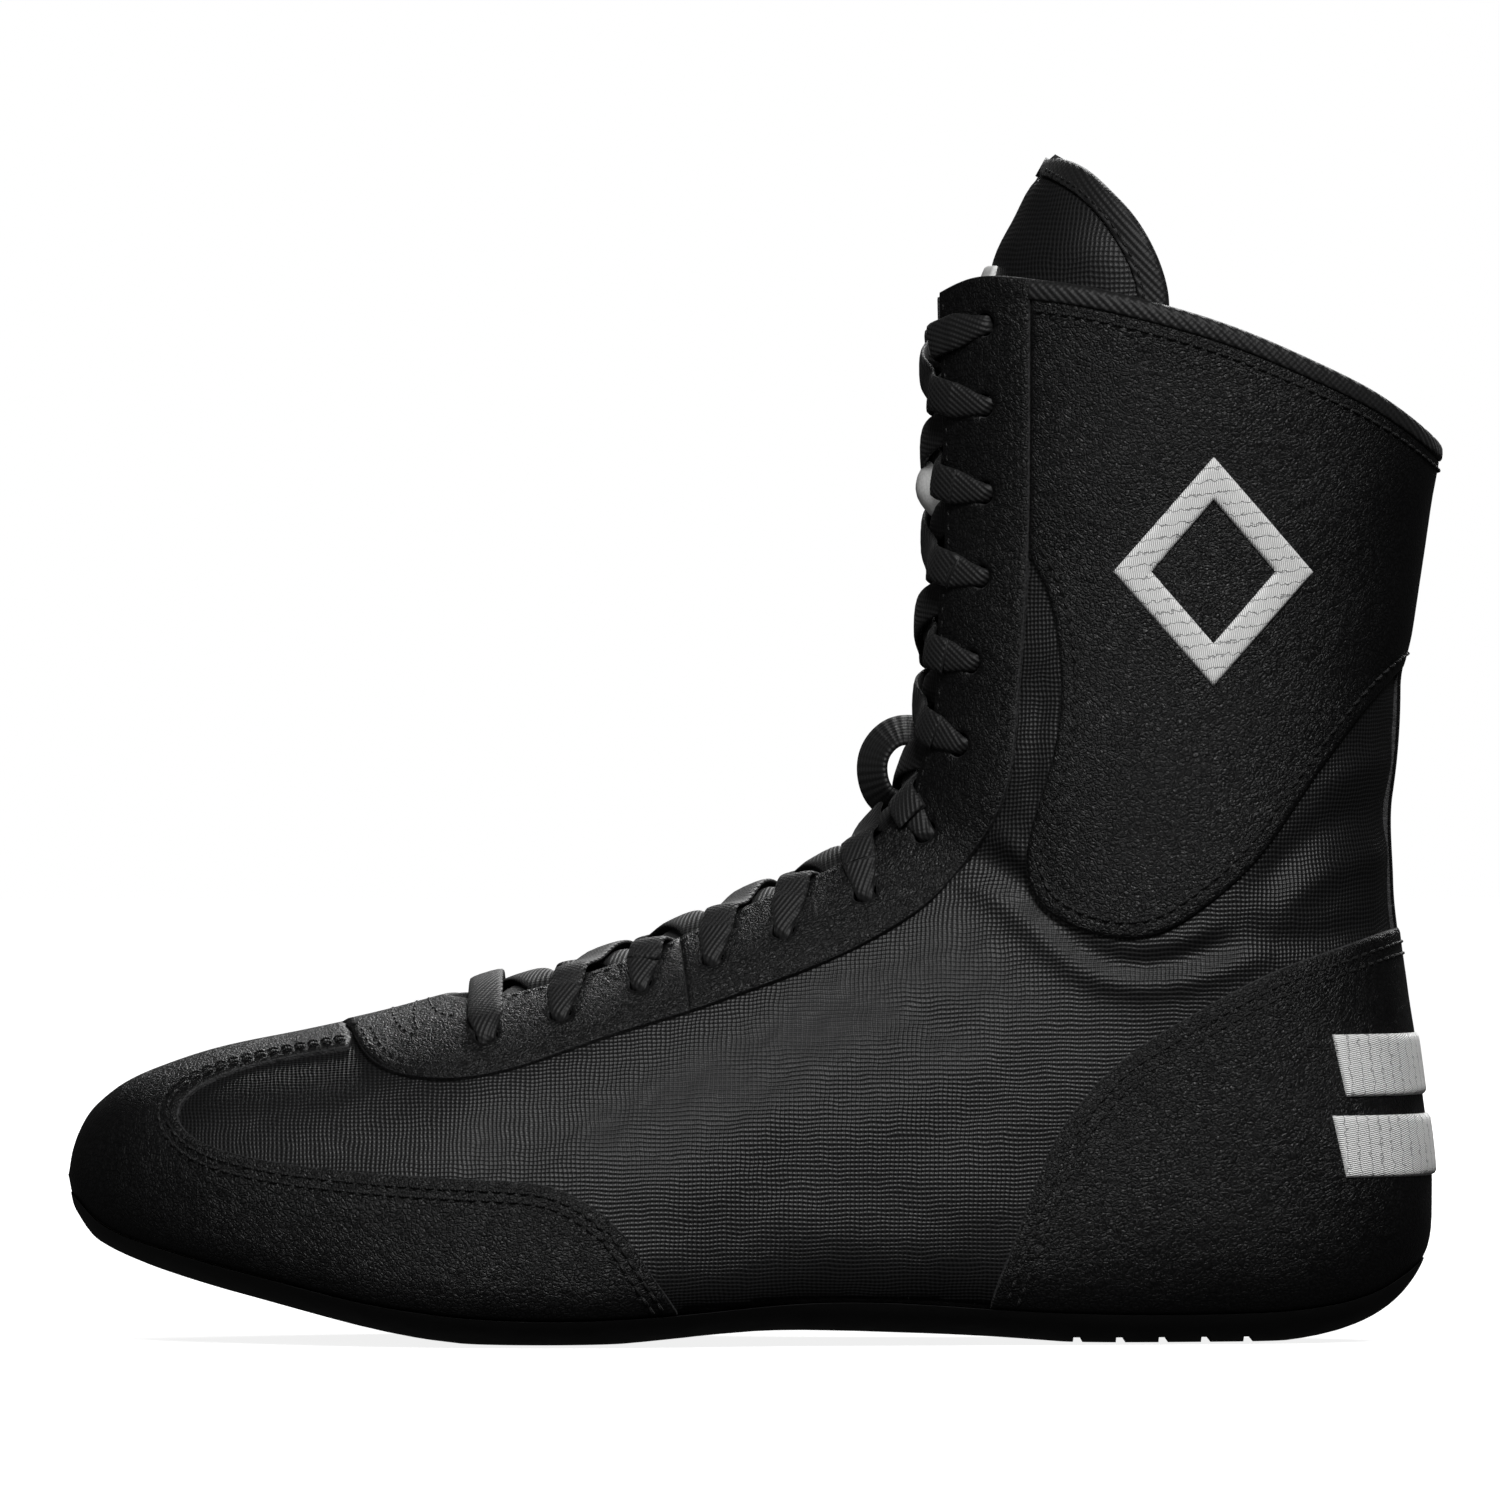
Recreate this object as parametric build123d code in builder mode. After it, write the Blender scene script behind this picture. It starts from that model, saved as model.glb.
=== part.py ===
"""High-top lace-up boxing boot, left foot, as an assembly of its sewn and glued pieces.

Millimetres. +X points to the toe, +Y to the outer (lateral) side and +Z up. The origin is on the
floor, under the middle of the boot's bounding box.

The upper is a stack of layers wrapped round one foot-shaped body. A place on that body is given by
a station, which runs along the foot, round the instep and up the shaft, and by an offset, the
distance outside the seam between lining and mesh. Each layer is the shell between two offsets, and
each panel is cut from its layer by its outline as seen from the side.
"""

import math
import os
from bisect import bisect_right

from build123d import *

# ---- driving dimensions -------------------------------------------------------------------------
TOE_X = 145.5  # front of the toe cap
BEND_X = -8.0  # the pivot in front of the instep, round which the body turns from foot to shaft
BEND_Z = 138.0
SHAFT_TOP_Z = 236.0  # every layer is longer than this before its top is cut to the collar line
CENTRE_Y = -0.45  # the throat's centre line: the ball bulges outwards more than inwards
OUTER = 2.0  # offset of the outermost leather face, the one that the station keys describe

LINING = (-1.2, -0.7)  # inner and outer offset of each layer
BACKING = (-0.6, -0.1)
MESH = (0.0, 0.8)
LEATHER = (0.9, 2.0)
BINDING = (-1.5, 2.4)
TONGUE = (-5.4, -3.6)
TONGUE_EDGE = (-5.8, -3.2)
STITCHED = (2.05, 2.7)  # embroidery on the leather
SOLE = 2.5  # offset of the outsole's side wall
INSIDE = -1.3  # offset of the foot bed's edge

REACH = 80.0  # half the width of every side-view cut
THROAT_DEPTH = 16.0  # how far the throat's cut reaches to either side of the leather
SEAM = 0.15  # half the gap between two panels that meet edge to edge
BINDING_HEIGHT = 4.2
BOARD = 1.5  # insole board thickness
SOCK = 2.8  # sock liner thickness
EYELET_RADIUS = 2.6
LACE_WIDTH = 6.4
LACE_THICKNESS = 0.9
AGLET_RADIUS = 1.6
AGLET_LENGTH = 22.0
GROOVE_WIDTH = 2.0
GROOVE_DEPTH = 1.2

# ---- the foot-shaped body -----------------------------------------------------------------------
# A station is a distance back from the toe as far as BEND_X, then degrees round the bend, then a
# height above BEND_Z. Each key is (station, value).
BEND_START = TOE_X - BEND_X
BEND_END = BEND_START + 90.0

NEAR = [  # from the pivot line to the top of the foot and the front of the shaft
    (0, 103.0), (0.8, 98.2), (2, 94.4), (4, 90.8), (6.3, 88.2), (12.6, 83.4), (19, 80.5),
    (31.5, 76.5), (50.5, 72.5), (69, 68.3), (88, 62.9), (107, 56.8), (126, 49.8), (140, 43.5),
    (153.5, 38), (165, 35), (177, 32.2), (188, 30.4), (202, 28.2), (219.5, 26.2),
    (243.5, 25.3), (263, 25.8), (275, 27), (300, 26.8), (328, 26.6), (345, 27),
]
FAR = [  # from the pivot line to the sole and the back of the heel and shaft
    (0, 104), (0.8, 107.8), (2, 110.8), (4, 114.2), (6.3, 116.8), (12.6, 120.1), (19, 122.5),
    (31.5, 126.2), (50.5, 131.1), (69, 135.6), (88, 138.2), (107, 138.4), (126, 137),
    (140, 135.6), (153.5, 135), (165.5, 138.6), (177.5, 151.3), (187.5, 166.8), (191.5, 174.3),
    (195, 179), (198, 181.2), (201.5, 179.5), (205.5, 171.5), (211.5, 156.5), (217.5, 144.6),
    (225.5, 134), (233.5, 129.3), (243.5, 129), (254.5, 131), (267, 133), (279.5, 135),
    (292, 137), (305, 138.6), (345, 143),
]
HALF_WIDTH = [
    (0, 3.5), (0.8, 7.5), (2, 11), (4, 14.6), (6.3, 17.8), (12.6, 25), (19, 30), (31.5, 36.5),
    (50.5, 42.4), (69, 46.4), (88, 48.8), (107, 48.6), (126, 46), (140, 43.2), (153.5, 40.8),
    (165.5, 38.6), (177.5, 37), (187.5, 36.2), (197.5, 35.8), (211.5, 36.2), (223, 36.4),
    (243.5, 35.8), (262, 36), (280, 37), (300, 38.5), (320, 40), (345, 42),
]
NEAR_CENTRE = [(0, -8), (12.6, -7.3), (31.5, -5.5), (50.5, -4), (69, -2.5), (88, -1.2), (120, 0)]
FAR_CENTRE = [
    (0, -8), (12.6, -7.5), (31.5, -5), (50.5, -3), (69, -1), (88, 0.2), (107, 2), (126, 3.6),
    (145, 4.6), (165, 3.8), (177, 2), (190, 0.5), (200, 0),
]
WIDEST = [  # how far down the section its widest place is, from 0 at NEAR to 1 at FAR
    (0, 0.52), (31, 0.62), (69, 0.66), (107, 0.68), (140, 0.66), (165, 0.58), (190, 0.5),
    (210, 0.47), (345, 0.48),
]
NEAR_POWER = [(0, 2.1), (69, 2.15), (107, 2.05), (140, 2.0), (345, 2.05)]
FAR_POWER = [
    (0, 2.4), (12, 2.8), (31, 3.6), (69, 4.4), (150, 4.2), (177, 3.6), (190, 3.0), (200, 2.5),
    (215, 2.3), (345, 2.2),
]
TONGUE_LEAN = [(288, 0), (310, 3.5), (328, 9.5), (345, 16), (360, 24)]
TOE_ROUNDING = 14.0  # how far back from the toe a layer's thickness turns from along X to across

STATIONS = (
    [0.4, 1.4, 3, 5.5, 9, 13.5, 19, 26, 35, 46, 59, 74, 90, 106, 122, 138, BEND_START]
    + [BEND_START + degrees for degrees in (9, 18, 26, 33, 39, 44, 48, 53, 59, 66, 74, 82, 90)]
    + [BEND_END + rise for rise in (14, 30, 48, 66, 82)]
)
TOE_LAST = 139  # the toe pieces are made on the sections in front of this station
HALF_POINTS = 24
FINE_POINTS = 240


def smooth(keys, place):
    """The value at a place on a smooth curve through the keys, which never overshoots them."""
    places = [key[0] for key in keys]
    if place <= places[0]:
        return keys[0][1]
    if place >= places[-1]:
        return keys[-1][1]

    def rise(i):
        return (keys[i + 1][1] - keys[i][1]) / (places[i + 1] - places[i])

    def slope(i):
        if i == 0:
            return rise(0)
        if i == len(keys) - 1:
            return rise(i - 1)
        before, after = rise(i - 1), rise(i)
        return 0.0 if before * after <= 0 else 2 * before * after / (before + after)

    i = bisect_right(places, place) - 1
    span = places[i + 1] - places[i]
    t = (place - places[i]) / span
    return (
        keys[i][1] * (1 + 2 * t) * (1 - t) ** 2
        + slope(i) * span * t * (1 - t) ** 2
        + keys[i + 1][1] * t * t * (3 - 2 * t)
        - slope(i + 1) * span * t * t * (1 - t)
    )


def frame_at(station):
    """The pivot point of a station and the direction across the body, as (x, z) pairs."""
    if station <= BEND_START:
        return (TOE_X - station, BEND_Z), (0.0, -1.0)
    if station <= BEND_END:
        turn = math.radians(station - BEND_START)
        return (BEND_X, BEND_Z), (-math.sin(turn), -math.cos(turn))
    return (BEND_X, BEND_Z + station - BEND_END), (-1.0, 0.0)


def station_of(x, z):
    """The station whose section passes through (x, z), and how far across it that is."""
    if x >= BEND_X:
        return TOE_X - x, BEND_Z - z
    if z >= BEND_Z:
        return BEND_END + z - BEND_Z, BEND_X - x
    turn = math.atan2(BEND_X - x, BEND_Z - z)
    return BEND_START + math.degrees(turn), math.hypot(BEND_X - x, BEND_Z - z)


def section(station, offset, lean=False):
    """Near and far distance, half width and shape of the body's section at one offset."""
    inset = OUTER - offset
    tip = math.exp(-station / TOE_ROUNDING)
    along = station - inset * tip
    inset *= 1 - tip
    near = smooth(NEAR, along) + inset
    if lean:
        near += smooth(TONGUE_LEAN, station)
    return (
        near,
        smooth(FAR, along) - inset,
        smooth(HALF_WIDTH, along) - inset,
        smooth(WIDEST, station),
        smooth(NEAR_POWER, station),
        smooth(FAR_POWER, station),
    )


def centre_y(station, share):
    near, far = smooth(NEAR_CENTRE, station), smooth(FAR_CENTRE, station)
    return CENTRE_Y + near + (far - near) * share


def surface_point(x, z, side, offset, lean=False):
    """The point of the body's surface that is seen at (x, z) from the side."""
    station, across = station_of(x, z)
    near, far, half_width, widest, near_power, far_power = section(station, offset, lean)
    share = min(max((across - near) / (far - near), 0.0), 1.0)
    if share < widest:
        rest, power = (widest - share) / widest, near_power
    else:
        rest, power = (share - widest) / (1 - widest), far_power
    swell = max(1 - rest**power, 0.0) ** (1 / power)
    return Vector(x, centre_y(station, share) + side * half_width * swell, z)


def surface_normal(x, z, side, offset, lean=False):
    """The outward direction of the surface at (x, z)."""
    step = 0.5
    along_x = surface_point(x + step, z, side, offset, lean) - surface_point(
        x - step, z, side, offset, lean
    )
    along_z = surface_point(x, z + step, side, offset, lean) - surface_point(
        x, z - step, side, offset, lean
    )
    return (along_z.cross(along_x) * side).normalized()


def half_section(station, offset, side, lean=False):
    """Points at even distances round half a section, from the near to the far centre line."""
    near, far, half_width, widest, near_power, far_power = section(station, offset, lean)
    pivot, across = frame_at(station)
    fine = []
    for k in range(FINE_POINTS + 1):
        turn = math.pi * k / FINE_POINTS
        rest, swell = abs(math.cos(turn)), math.sin(turn)
        if 2 * k < FINE_POINTS:
            share = widest * (1 - rest ** (2 / near_power))
            swell = swell ** (2 / near_power)
        else:
            share = widest + (1 - widest) * rest ** (2 / far_power)
            swell = swell ** (2 / far_power) if k < FINE_POINTS else 0.0
        fine.append((near + (far - near) * share, centre_y(station, share) + side * half_width * swell))
    lengths = [0.0]
    for before, after in zip(fine, fine[1:]):
        lengths.append(lengths[-1] + math.dist(before, after))
    points = []
    for k in range(HALF_POINTS + 1):
        target = lengths[-1] * k / HALF_POINTS
        i = min(bisect_right(lengths, target), FINE_POINTS) - 1
        t = (target - lengths[i]) / (lengths[i + 1] - lengths[i])
        reach = fine[i][0] + (fine[i + 1][0] - fine[i][0]) * t
        y = fine[i][1] + (fine[i + 1][1] - fine[i][1]) * t
        points.append((pivot[0] + across[0] * reach, y, pivot[1] + across[1] * reach))
    return points


def section_curve(points):
    """A smooth curve through half a section."""
    return Edge.make_spline(points, parameters=[k / HALF_POINTS for k in range(HALF_POINTS + 1)])


def section_face(station, offset, lean=False):
    """One cross section of the body, split into halves at the centre line."""
    halves = [half_section(station, offset, side, lean) for side in (1, -1)]
    return Face(Wire([section_curve(half) for half in halves]))


def boot_volume(offset, longer=0.0, lean=False, last=1000.0):
    """The foot-shaped body at one offset as a solid, from the toe to its last station."""
    start = OUTER - offset
    top = BEND_END + SHAFT_TOP_Z - BEND_Z + longer
    stations = [start + s for s in STATIONS if s < 40] + [s for s in STATIONS if s >= 40] + [top]
    with BuildPart() as volume:
        for station in stations:
            if station < last:
                add(section_face(station, offset, lean))
        loft()
    return volume.part


def layer(inner, outer, last=1000.0):
    """The shell of the body between two offsets."""
    with BuildPart() as shell:
        add(boot_volume(outer, last=last))
        add(boot_volume(inner, longer=1.0, last=last), mode=Mode.SUBTRACT)
    return shell.part


# ---- outlines seen from the side, as (x, z) -----------------------------------------------------
SOLE_EDGE = [  # where the upper meets the outsole, from beyond the toe to behind the heel
    (158, 38), (150, 34), (144, 30), (139.4, 25.5), (128, 20.5), (113, 16.4), (99, 13), (85, 9.6),
    (74, 7.6), (55, 5.6), (35, 5.4), (15, 6.6), (-10, 8.8), (-30, 8.8), (-50, 7.4), (-75, 6.2),
    (-100, 6.2), (-120, 7.6), (-132, 11), (-140, 16), (-160, 30),
]
COLLAR = [
    (-30, 216), (-38.2, 220.6), (-46, 223.9), (-55.6, 223.6), (-68.7, 221.7), (-81.3, 218.8),
    (-93.9, 215.3), (-106.5, 210.8), (-119.1, 205.4), (-131.7, 199.3), (-145.3, 189.8), (-160, 178),
]
THROAT_HALF_WIDTH = [  # of the opening under the laces, by station
    (80.5, 1.5), (82, 7.5), (84, 11.8), (87, 15), (91, 17.2), (100, 18.9), (112, 19.5),
    (124, 18.4), (140, 16.6), (157, 14.8), (190, 13.8), (204, 13.8), (222, 15), (250, 16),
    (300, 16.4), (345, 16.4),
]
THROAT_STATIONS = [80.5, 82, 84, 87, 91] + [96 + 10 * step for step in range(26)]
EYESTAY_EDGE = [  # lower and rear edge of the facing and the eyestay, from the toe to the collar
    (84.8, 65.5), (80.6, 60), (71.8, 56.7), (60.5, 56.5), (50, 58.6), (37, 63), (24.8, 67),
    (13.4, 70.4), (2.1, 74.3), (-15.3, 80.8), (-28.3, 87.4), (-37, 93.5), (-43.9, 101.2),
    (-50.2, 110.5), (-53.5, 120.5), (-55, 135.2), (-56.2, 150), (-57.2, 167.8), (-57.5, 194),
    (-57.5, 240),
]
FACING_SEAM_TOP = (17.0, 95.0)
FACING_SEAM_BOTTOM = (11.0, 50.0)
ANKLE_PANEL = [
    (-57.3, 165.3), (-60.9, 158.3), (-63, 149.9), (-64, 138), (-61.9, 122.2), (-58, 109.2),
    (-56.7, 100.4), (-58, 95.1), (-62.4, 90.1), (-70.1, 86.5), (-77.9, 85.3), (-85, 86.5),
    (-92.8, 90.9), (-104, 100.4), (-115.7, 116), (-124.3, 127.7), (-133.1, 138), (-139, 143.4),
]
HEEL_COUNTER = [
    (-160, 88.5), (-137, 87.4), (-124.3, 83.6), (-111.3, 79.2), (-98.3, 73), (-85.3, 65.5),
    (-76.4, 59.4), (-69.5, 52.3), (-64.3, 45.4), (-60.1, 36.8), (-57.3, 29.8), (-54.8, 22.7),
    (-52.1, 15.8), (-49.6, 8.4), (-48, 2),
]
TOE_WINDOW = [  # edge of the toe cap, round the mesh window and down to the sole
    (85.5, 62.8), (99.3, 60.3), (109.8, 57.6), (115.9, 55), (120.1, 51.8), (121.6, 47.9),
    (119.3, 44.5), (113.2, 41.4), (104.6, 39.3), (87.1, 37), (69.7, 35.7), (52.3, 34.9),
    (40.9, 33.2), (34, 29.6), (27.9, 24.4), (21.8, 15.8), (14.9, 4.4), (13.5, 1),
]
TOE_PUFF = [(106, -6), (107, 30), (117, 38), (124.6, 46), (123.6, 53), (114, 60.4), (98, 68)]
HEEL_STIFFENER = [
    (-160, 72), (-136, 71), (-115, 64.5), (-98, 56), (-86, 46), (-79, 35), (-75, 22), (-73, -6),
]
MIDFOOT_BACKING = [
    (100, -6), (101, 30), (97, 50), (85, 60), (60, 64), (30, 72), (0, 82), (-20, 86), (-40, 84),
    (-60, 76), (-71, 65), (-76, 50), (-74, 30), (-71, -6),
]
EYELET_BACKING = [(-56.5, 152), (-30, 152), (-30, 260), (-56.5, 260)]
TONGUE_BACK = [  # free edge of the tongue, from its sewn base up to its tip
    (80, 58), (60, 59), (40, 63.5), (20, 70), (0, 77), (-15, 83), (-28, 89.5), (-41, 98),
    (-51, 110), (-58, 124), (-63, 142), (-67, 160), (-73, 180), (-80, 200), (-86.7, 217.1),
    (-85.3, 225), (-82.7, 231), (-78.8, 237.1), (-73.3, 243.2), (-67.2, 248.4), (-63.4, 250),
]
TONGUE_EDGE_INSIDE = [  # where the tongue's edge binding ends, about 5 mm in from its edge
    (-75, 200), (-80.5, 216), (-79.6, 223.5), (-77, 229.6), (-73.2, 235.6), (-68, 241.2), (-61, 246),
]
TONGUE_SPLIT_Z = 200.0
EYELETS = [
    (56.3, 64.9), (40.9, 69.5), (24.1, 75.8), (9, 81.1), (-5.9, 86.9), (-23.1, 94.7),
    (-35.7, 107.5), (-43, 125.8), (-45.4, 143.2), (-47.4, 161.1), (-48.2, 178.7), (-48.2, 197),
    (-48.3, 214),
]
LOOP = [
    (-30.2, 111.6), (-24.5, 113.2), (-21.6, 118.5), (-22.4, 125), (-28.5, 130.2), (-37.3, 129.1),
]
ANKLE_MARK = (-96, 162)
HEEL_MARK = (35, 52)
LABEL_WIDTH = 12.0
LABEL_THICKNESS = 0.2  # thin enough for the lace to cross it
LOOP_THICKNESS = 1.1
LOOP_WIDTH = 11.0
LACE_TAIL = [(-56, 213), (-66.2, 206), (-74.8, 195), (-79.3, 183)]
TAIL_DEPTH = -3.1
UNDER = -2.4  # the lace's offset where it runs between the lining and the tongue
OVER = OUTER + 0.75  # and where it lies on the leather
UPPER_LEG = (-1.3, -1.25, -1.0)  # and where two legs cross in the throat
LOWER_LEG = (-2.55, -2.6, -2.45)


def raised(outline, rise):
    return [(x, z + rise) for x, z in outline]


side_view = Plane.XZ.offset(-REACH)  # drawn from the outer side, cut towards the inner side


def above(outline):
    """A side-view face of everything above an outline that runs from toe to heel."""
    with BuildSketch(side_view) as face:
        with BuildLine():
            edge = Spline(*outline)
            Polyline(edge @ 1, (-175, 290), (175, 290), edge @ 0)
        make_face()
    return face.sketch


def region(outline, *closing):
    """A side-view face inside a smooth outline that is closed by straight lines."""
    with BuildSketch(side_view) as face:
        with BuildLine():
            edge = Spline(*outline)
            Polyline(edge @ 1, *closing, edge @ 0)
        make_face()
    return face.sketch


def straight(*corners):
    """A side-view face with straight edges."""
    with BuildSketch(side_view) as face:
        Polygon(*corners, align=None)
    return face.sketch


def prism(face):
    """A side-view face carried through the whole width of the boot."""
    with BuildPart() as block:
        extrude(face, amount=2 * REACH, dir=(0, -1, 0))
    return block.part


def throat_cut():
    """The opening under the laces, cut straight in towards the foot at every station."""
    with BuildPart() as cut:
        for station in THROAT_STATIONS:
            half_width = smooth(THROAT_HALF_WIDTH, station)
            near = smooth(NEAR, station)
            pivot, across = frame_at(station)
            plane = Plane(
                origin=(pivot[0] + across[0] * near, CENTRE_Y, pivot[1] + across[1] * near),
                x_dir=(0, 1, 0),
                z_dir=(across[1], 0, -across[0]),
            )
            with BuildSketch(plane):
                Rectangle(2 * half_width, 2 * THROAT_DEPTH)
        loft()
    return cut.part


def half_space(side):
    """Everything on one side of the centre line."""
    with BuildPart() as block:
        with Locations((0, CENTRE_Y + side * (REACH / 2 + SEAM), 120)):
            Box(400, REACH, 400)
    return block.part


above_sole = prism(above(raised(SOLE_EDGE, SEAM)))
above_board = prism(above(raised(SOLE_EDGE, SEAM + BOARD)))
above_sock = prism(above(raised(SOLE_EDGE, 2 * SEAM + BOARD + SOCK)))
below_collar = prism(region(COLLAR, (-175, -30), (175, -30), (175, 216)))
below_binding = prism(
    region(raised(COLLAR, -BINDING_HEIGHT - SEAM), (-175, -30), (175, -30), (175, 210))
)
eyestay_band = prism(region(EYESTAY_EDGE, (175, 240), (175, 110), (100, 80)))
behind_eyestay = prism(
    region([(x - 2 * SEAM, z - 2 * SEAM) for x, z in EYESTAY_EDGE], (175, 240), (175, 110), (100, 80))
)
toe_area = prism(region(TOE_WINDOW, (13, -20), (175, -20), (175, 100), (84, 100)))
puff_area = prism(region(TOE_PUFF, (98, 110), (175, 110), (175, -6)))
counter_area = prism(region(HEEL_COUNTER, (-48, -20), (-160, -20)))
stiffener_area = prism(region(HEEL_STIFFENER, (-160, -6)))
throat_opening = throat_cut()
facing_side = prism(
    straight(FACING_SEAM_TOP, FACING_SEAM_BOTTOM, (175, 50), (175, 290), (FACING_SEAM_TOP[0], 290))
)
behind_facing = prism(
    straight(
        *[(x - 2 * SEAM, z) for x, z in (FACING_SEAM_TOP, FACING_SEAM_BOTTOM)],
        (-175, 50), (-175, 290), (FACING_SEAM_TOP[0] - 2 * SEAM, 290),
    )
)
sides = {"lateral": 1, "medial": -1}

leather_layer = layer(*LEATHER)
mesh_layer = layer(*MESH)
backing_layer = layer(*BACKING)


def eyelet_punch(side):
    """Thirteen round punches, each square to the leather."""
    with BuildPart() as punch:
        for x, z in EYELETS:
            at = Plane(
                origin=surface_point(x, z, side, 0.4), z_dir=surface_normal(x, z, side, 0.4)
            )
            with Locations(at):
                Cylinder(EYELET_RADIUS, 7)
    return punch.part


punches = {name: eyelet_punch(side) for name, side in sides.items()}
finished = []


def finish(builder, name):
    part = builder.part if builder.part.is_valid else builder.part.fix()
    part.label = name
    finished.append(part)
    print(name, part.is_valid, [round(solid.volume) for solid in part.solids()], flush=True)


# ---- sole ---------------------------------------------------------------------------------------
with BuildPart() as outsole:
    add(boot_volume(SOLE))
    add(prism(above(SOLE_EDGE)), mode=Mode.SUBTRACT)
    with Locations((0, 0, -20)):
        Box(400, 200, 40, mode=Mode.SUBTRACT)
    for groove_x in (24, 33, 42, 51, 60, 69, -68, -77, -86, -95, -104):
        with Locations((groove_x, 0, 0)):
            Box(GROOVE_WIDTH, 44, 2 * GROOVE_DEPTH, mode=Mode.SUBTRACT)
finish(outsole, "outsole")

foot_space = boot_volume(INSIDE)
with BuildPart() as insole_board:
    add(foot_space)
    add(above_sole, mode=Mode.INTERSECT)
    add(above_board, mode=Mode.SUBTRACT)
finish(insole_board, "insole_board")

with BuildPart() as sock_liner:
    add(foot_space)
    add(prism(above(raised(SOLE_EDGE, 2 * SEAM + BOARD))), mode=Mode.INTERSECT)
    add(above_sock, mode=Mode.SUBTRACT)
finish(sock_liner, "sock_liner")

# ---- leather panels -----------------------------------------------------------------------------
with BuildPart() as toe_cap:
    add(layer(*LEATHER, last=TOE_LAST))
    add(above_sole, mode=Mode.INTERSECT)
    add(toe_area, mode=Mode.INTERSECT)
    add(behind_eyestay, mode=Mode.SUBTRACT)
finish(toe_cap, "toe_cap")

with BuildPart() as heel_counter:
    add(leather_layer)
    add(above_sole, mode=Mode.INTERSECT)
    add(counter_area, mode=Mode.INTERSECT)
finish(heel_counter, "heel_counter")

with BuildPart() as throat_facing:
    add(leather_layer)
    add(eyestay_band, mode=Mode.INTERSECT)
    add(facing_side, mode=Mode.INTERSECT)
    add(throat_opening, mode=Mode.SUBTRACT)
    for name in sides:
        add(punches[name], mode=Mode.SUBTRACT)
finish(throat_facing, "throat_facing")

for name, side in sides.items():
    with BuildPart() as eyestay:
        add(leather_layer)
        add(eyestay_band, mode=Mode.INTERSECT)
        add(behind_facing, mode=Mode.INTERSECT)
        add(below_collar, mode=Mode.INTERSECT)
        add(throat_opening, mode=Mode.SUBTRACT)
        add(half_space(side), mode=Mode.INTERSECT)
        add(punches[name], mode=Mode.SUBTRACT)
    finish(eyestay, f"eyestay_{name}")

    with BuildPart() as ankle_panel:
        add(leather_layer)
        add(prism(region(ANKLE_PANEL, (-175, 160), (-175, 290), (-57, 290))), mode=Mode.INTERSECT)
        add(behind_eyestay, mode=Mode.SUBTRACT)
        add(below_binding, mode=Mode.INTERSECT)
        add(half_space(side), mode=Mode.INTERSECT)
    finish(ankle_panel, f"ankle_panel_{name}")

with BuildPart() as back_strip:
    add(leather_layer)
    with Locations((-130, CENTRE_Y, 115)):
        Box(60, 15, 62, mode=Mode.INTERSECT)
    add(counter_area, mode=Mode.SUBTRACT)
    add(
        prism(region(raised(ANKLE_PANEL, -2 * SEAM), (-175, 160), (-175, 290), (-57, 290))),
        mode=Mode.SUBTRACT,
    )
finish(back_strip, "back_strip")

# ---- mesh, stiffeners and lining ----------------------------------------------------------------
for name, side in sides.items():
    with BuildPart() as mesh_panel:
        add(mesh_layer)
        add(above_sole, mode=Mode.INTERSECT)
        add(below_binding, mode=Mode.INTERSECT)
        add(throat_opening, mode=Mode.SUBTRACT)
        add(puff_area, mode=Mode.SUBTRACT)
        add(stiffener_area, mode=Mode.SUBTRACT)
        add(half_space(side), mode=Mode.INTERSECT)
        add(punches[name], mode=Mode.SUBTRACT)
    finish(mesh_panel, f"mesh_panel_{name}")

for name, side in sides.items():
    with BuildPart() as midfoot_backing:
        add(backing_layer)
        add(above_sole, mode=Mode.INTERSECT)
        add(prism(region(MIDFOOT_BACKING)), mode=Mode.INTERSECT)
        add(half_space(side), mode=Mode.INTERSECT)
    finish(midfoot_backing, f"midfoot_backing_{name}")

    with BuildPart() as eyelet_backing:
        add(backing_layer)
        add(prism(straight(*EYELET_BACKING)), mode=Mode.INTERSECT)
        add(below_binding, mode=Mode.INTERSECT)
        add(throat_opening, mode=Mode.SUBTRACT)
        add(half_space(side), mode=Mode.INTERSECT)
        add(punches[name], mode=Mode.SUBTRACT)
    finish(eyelet_backing, f"eyelet_backing_{name}")

with BuildPart() as toe_puff:
    add(layer(*MESH, last=TOE_LAST))
    add(above_sole, mode=Mode.INTERSECT)
    add(puff_area, mode=Mode.INTERSECT)
finish(toe_puff, "toe_puff")

with BuildPart() as heel_stiffener:
    add(mesh_layer)
    add(above_sole, mode=Mode.INTERSECT)
    add(stiffener_area, mode=Mode.INTERSECT)
finish(heel_stiffener, "heel_stiffener")

with BuildPart() as lining:
    add(layer(*LINING))
    add(above_sole, mode=Mode.INTERSECT)
    add(below_binding, mode=Mode.INTERSECT)
    add(throat_opening, mode=Mode.SUBTRACT)
    for name in sides:
        add(punches[name], mode=Mode.SUBTRACT)
finish(lining, "lining")

with BuildPart() as collar_binding:
    add(layer(*BINDING))
    add(below_collar, mode=Mode.INTERSECT)
    add(prism(region(raised(COLLAR, -BINDING_HEIGHT), (-175, -30), (175, -30), (175, 210))),
        mode=Mode.SUBTRACT)
    add(behind_eyestay, mode=Mode.SUBTRACT)
finish(collar_binding, "collar_binding")

# ---- tongue -------------------------------------------------------------------------------------
def tongue_layer(inner, outer):
    with BuildPart() as shell:
        add(boot_volume(outer, longer=16.0, lean=True))
        add(boot_volume(inner, longer=17.0, lean=True), mode=Mode.SUBTRACT)
    return shell.part


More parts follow.
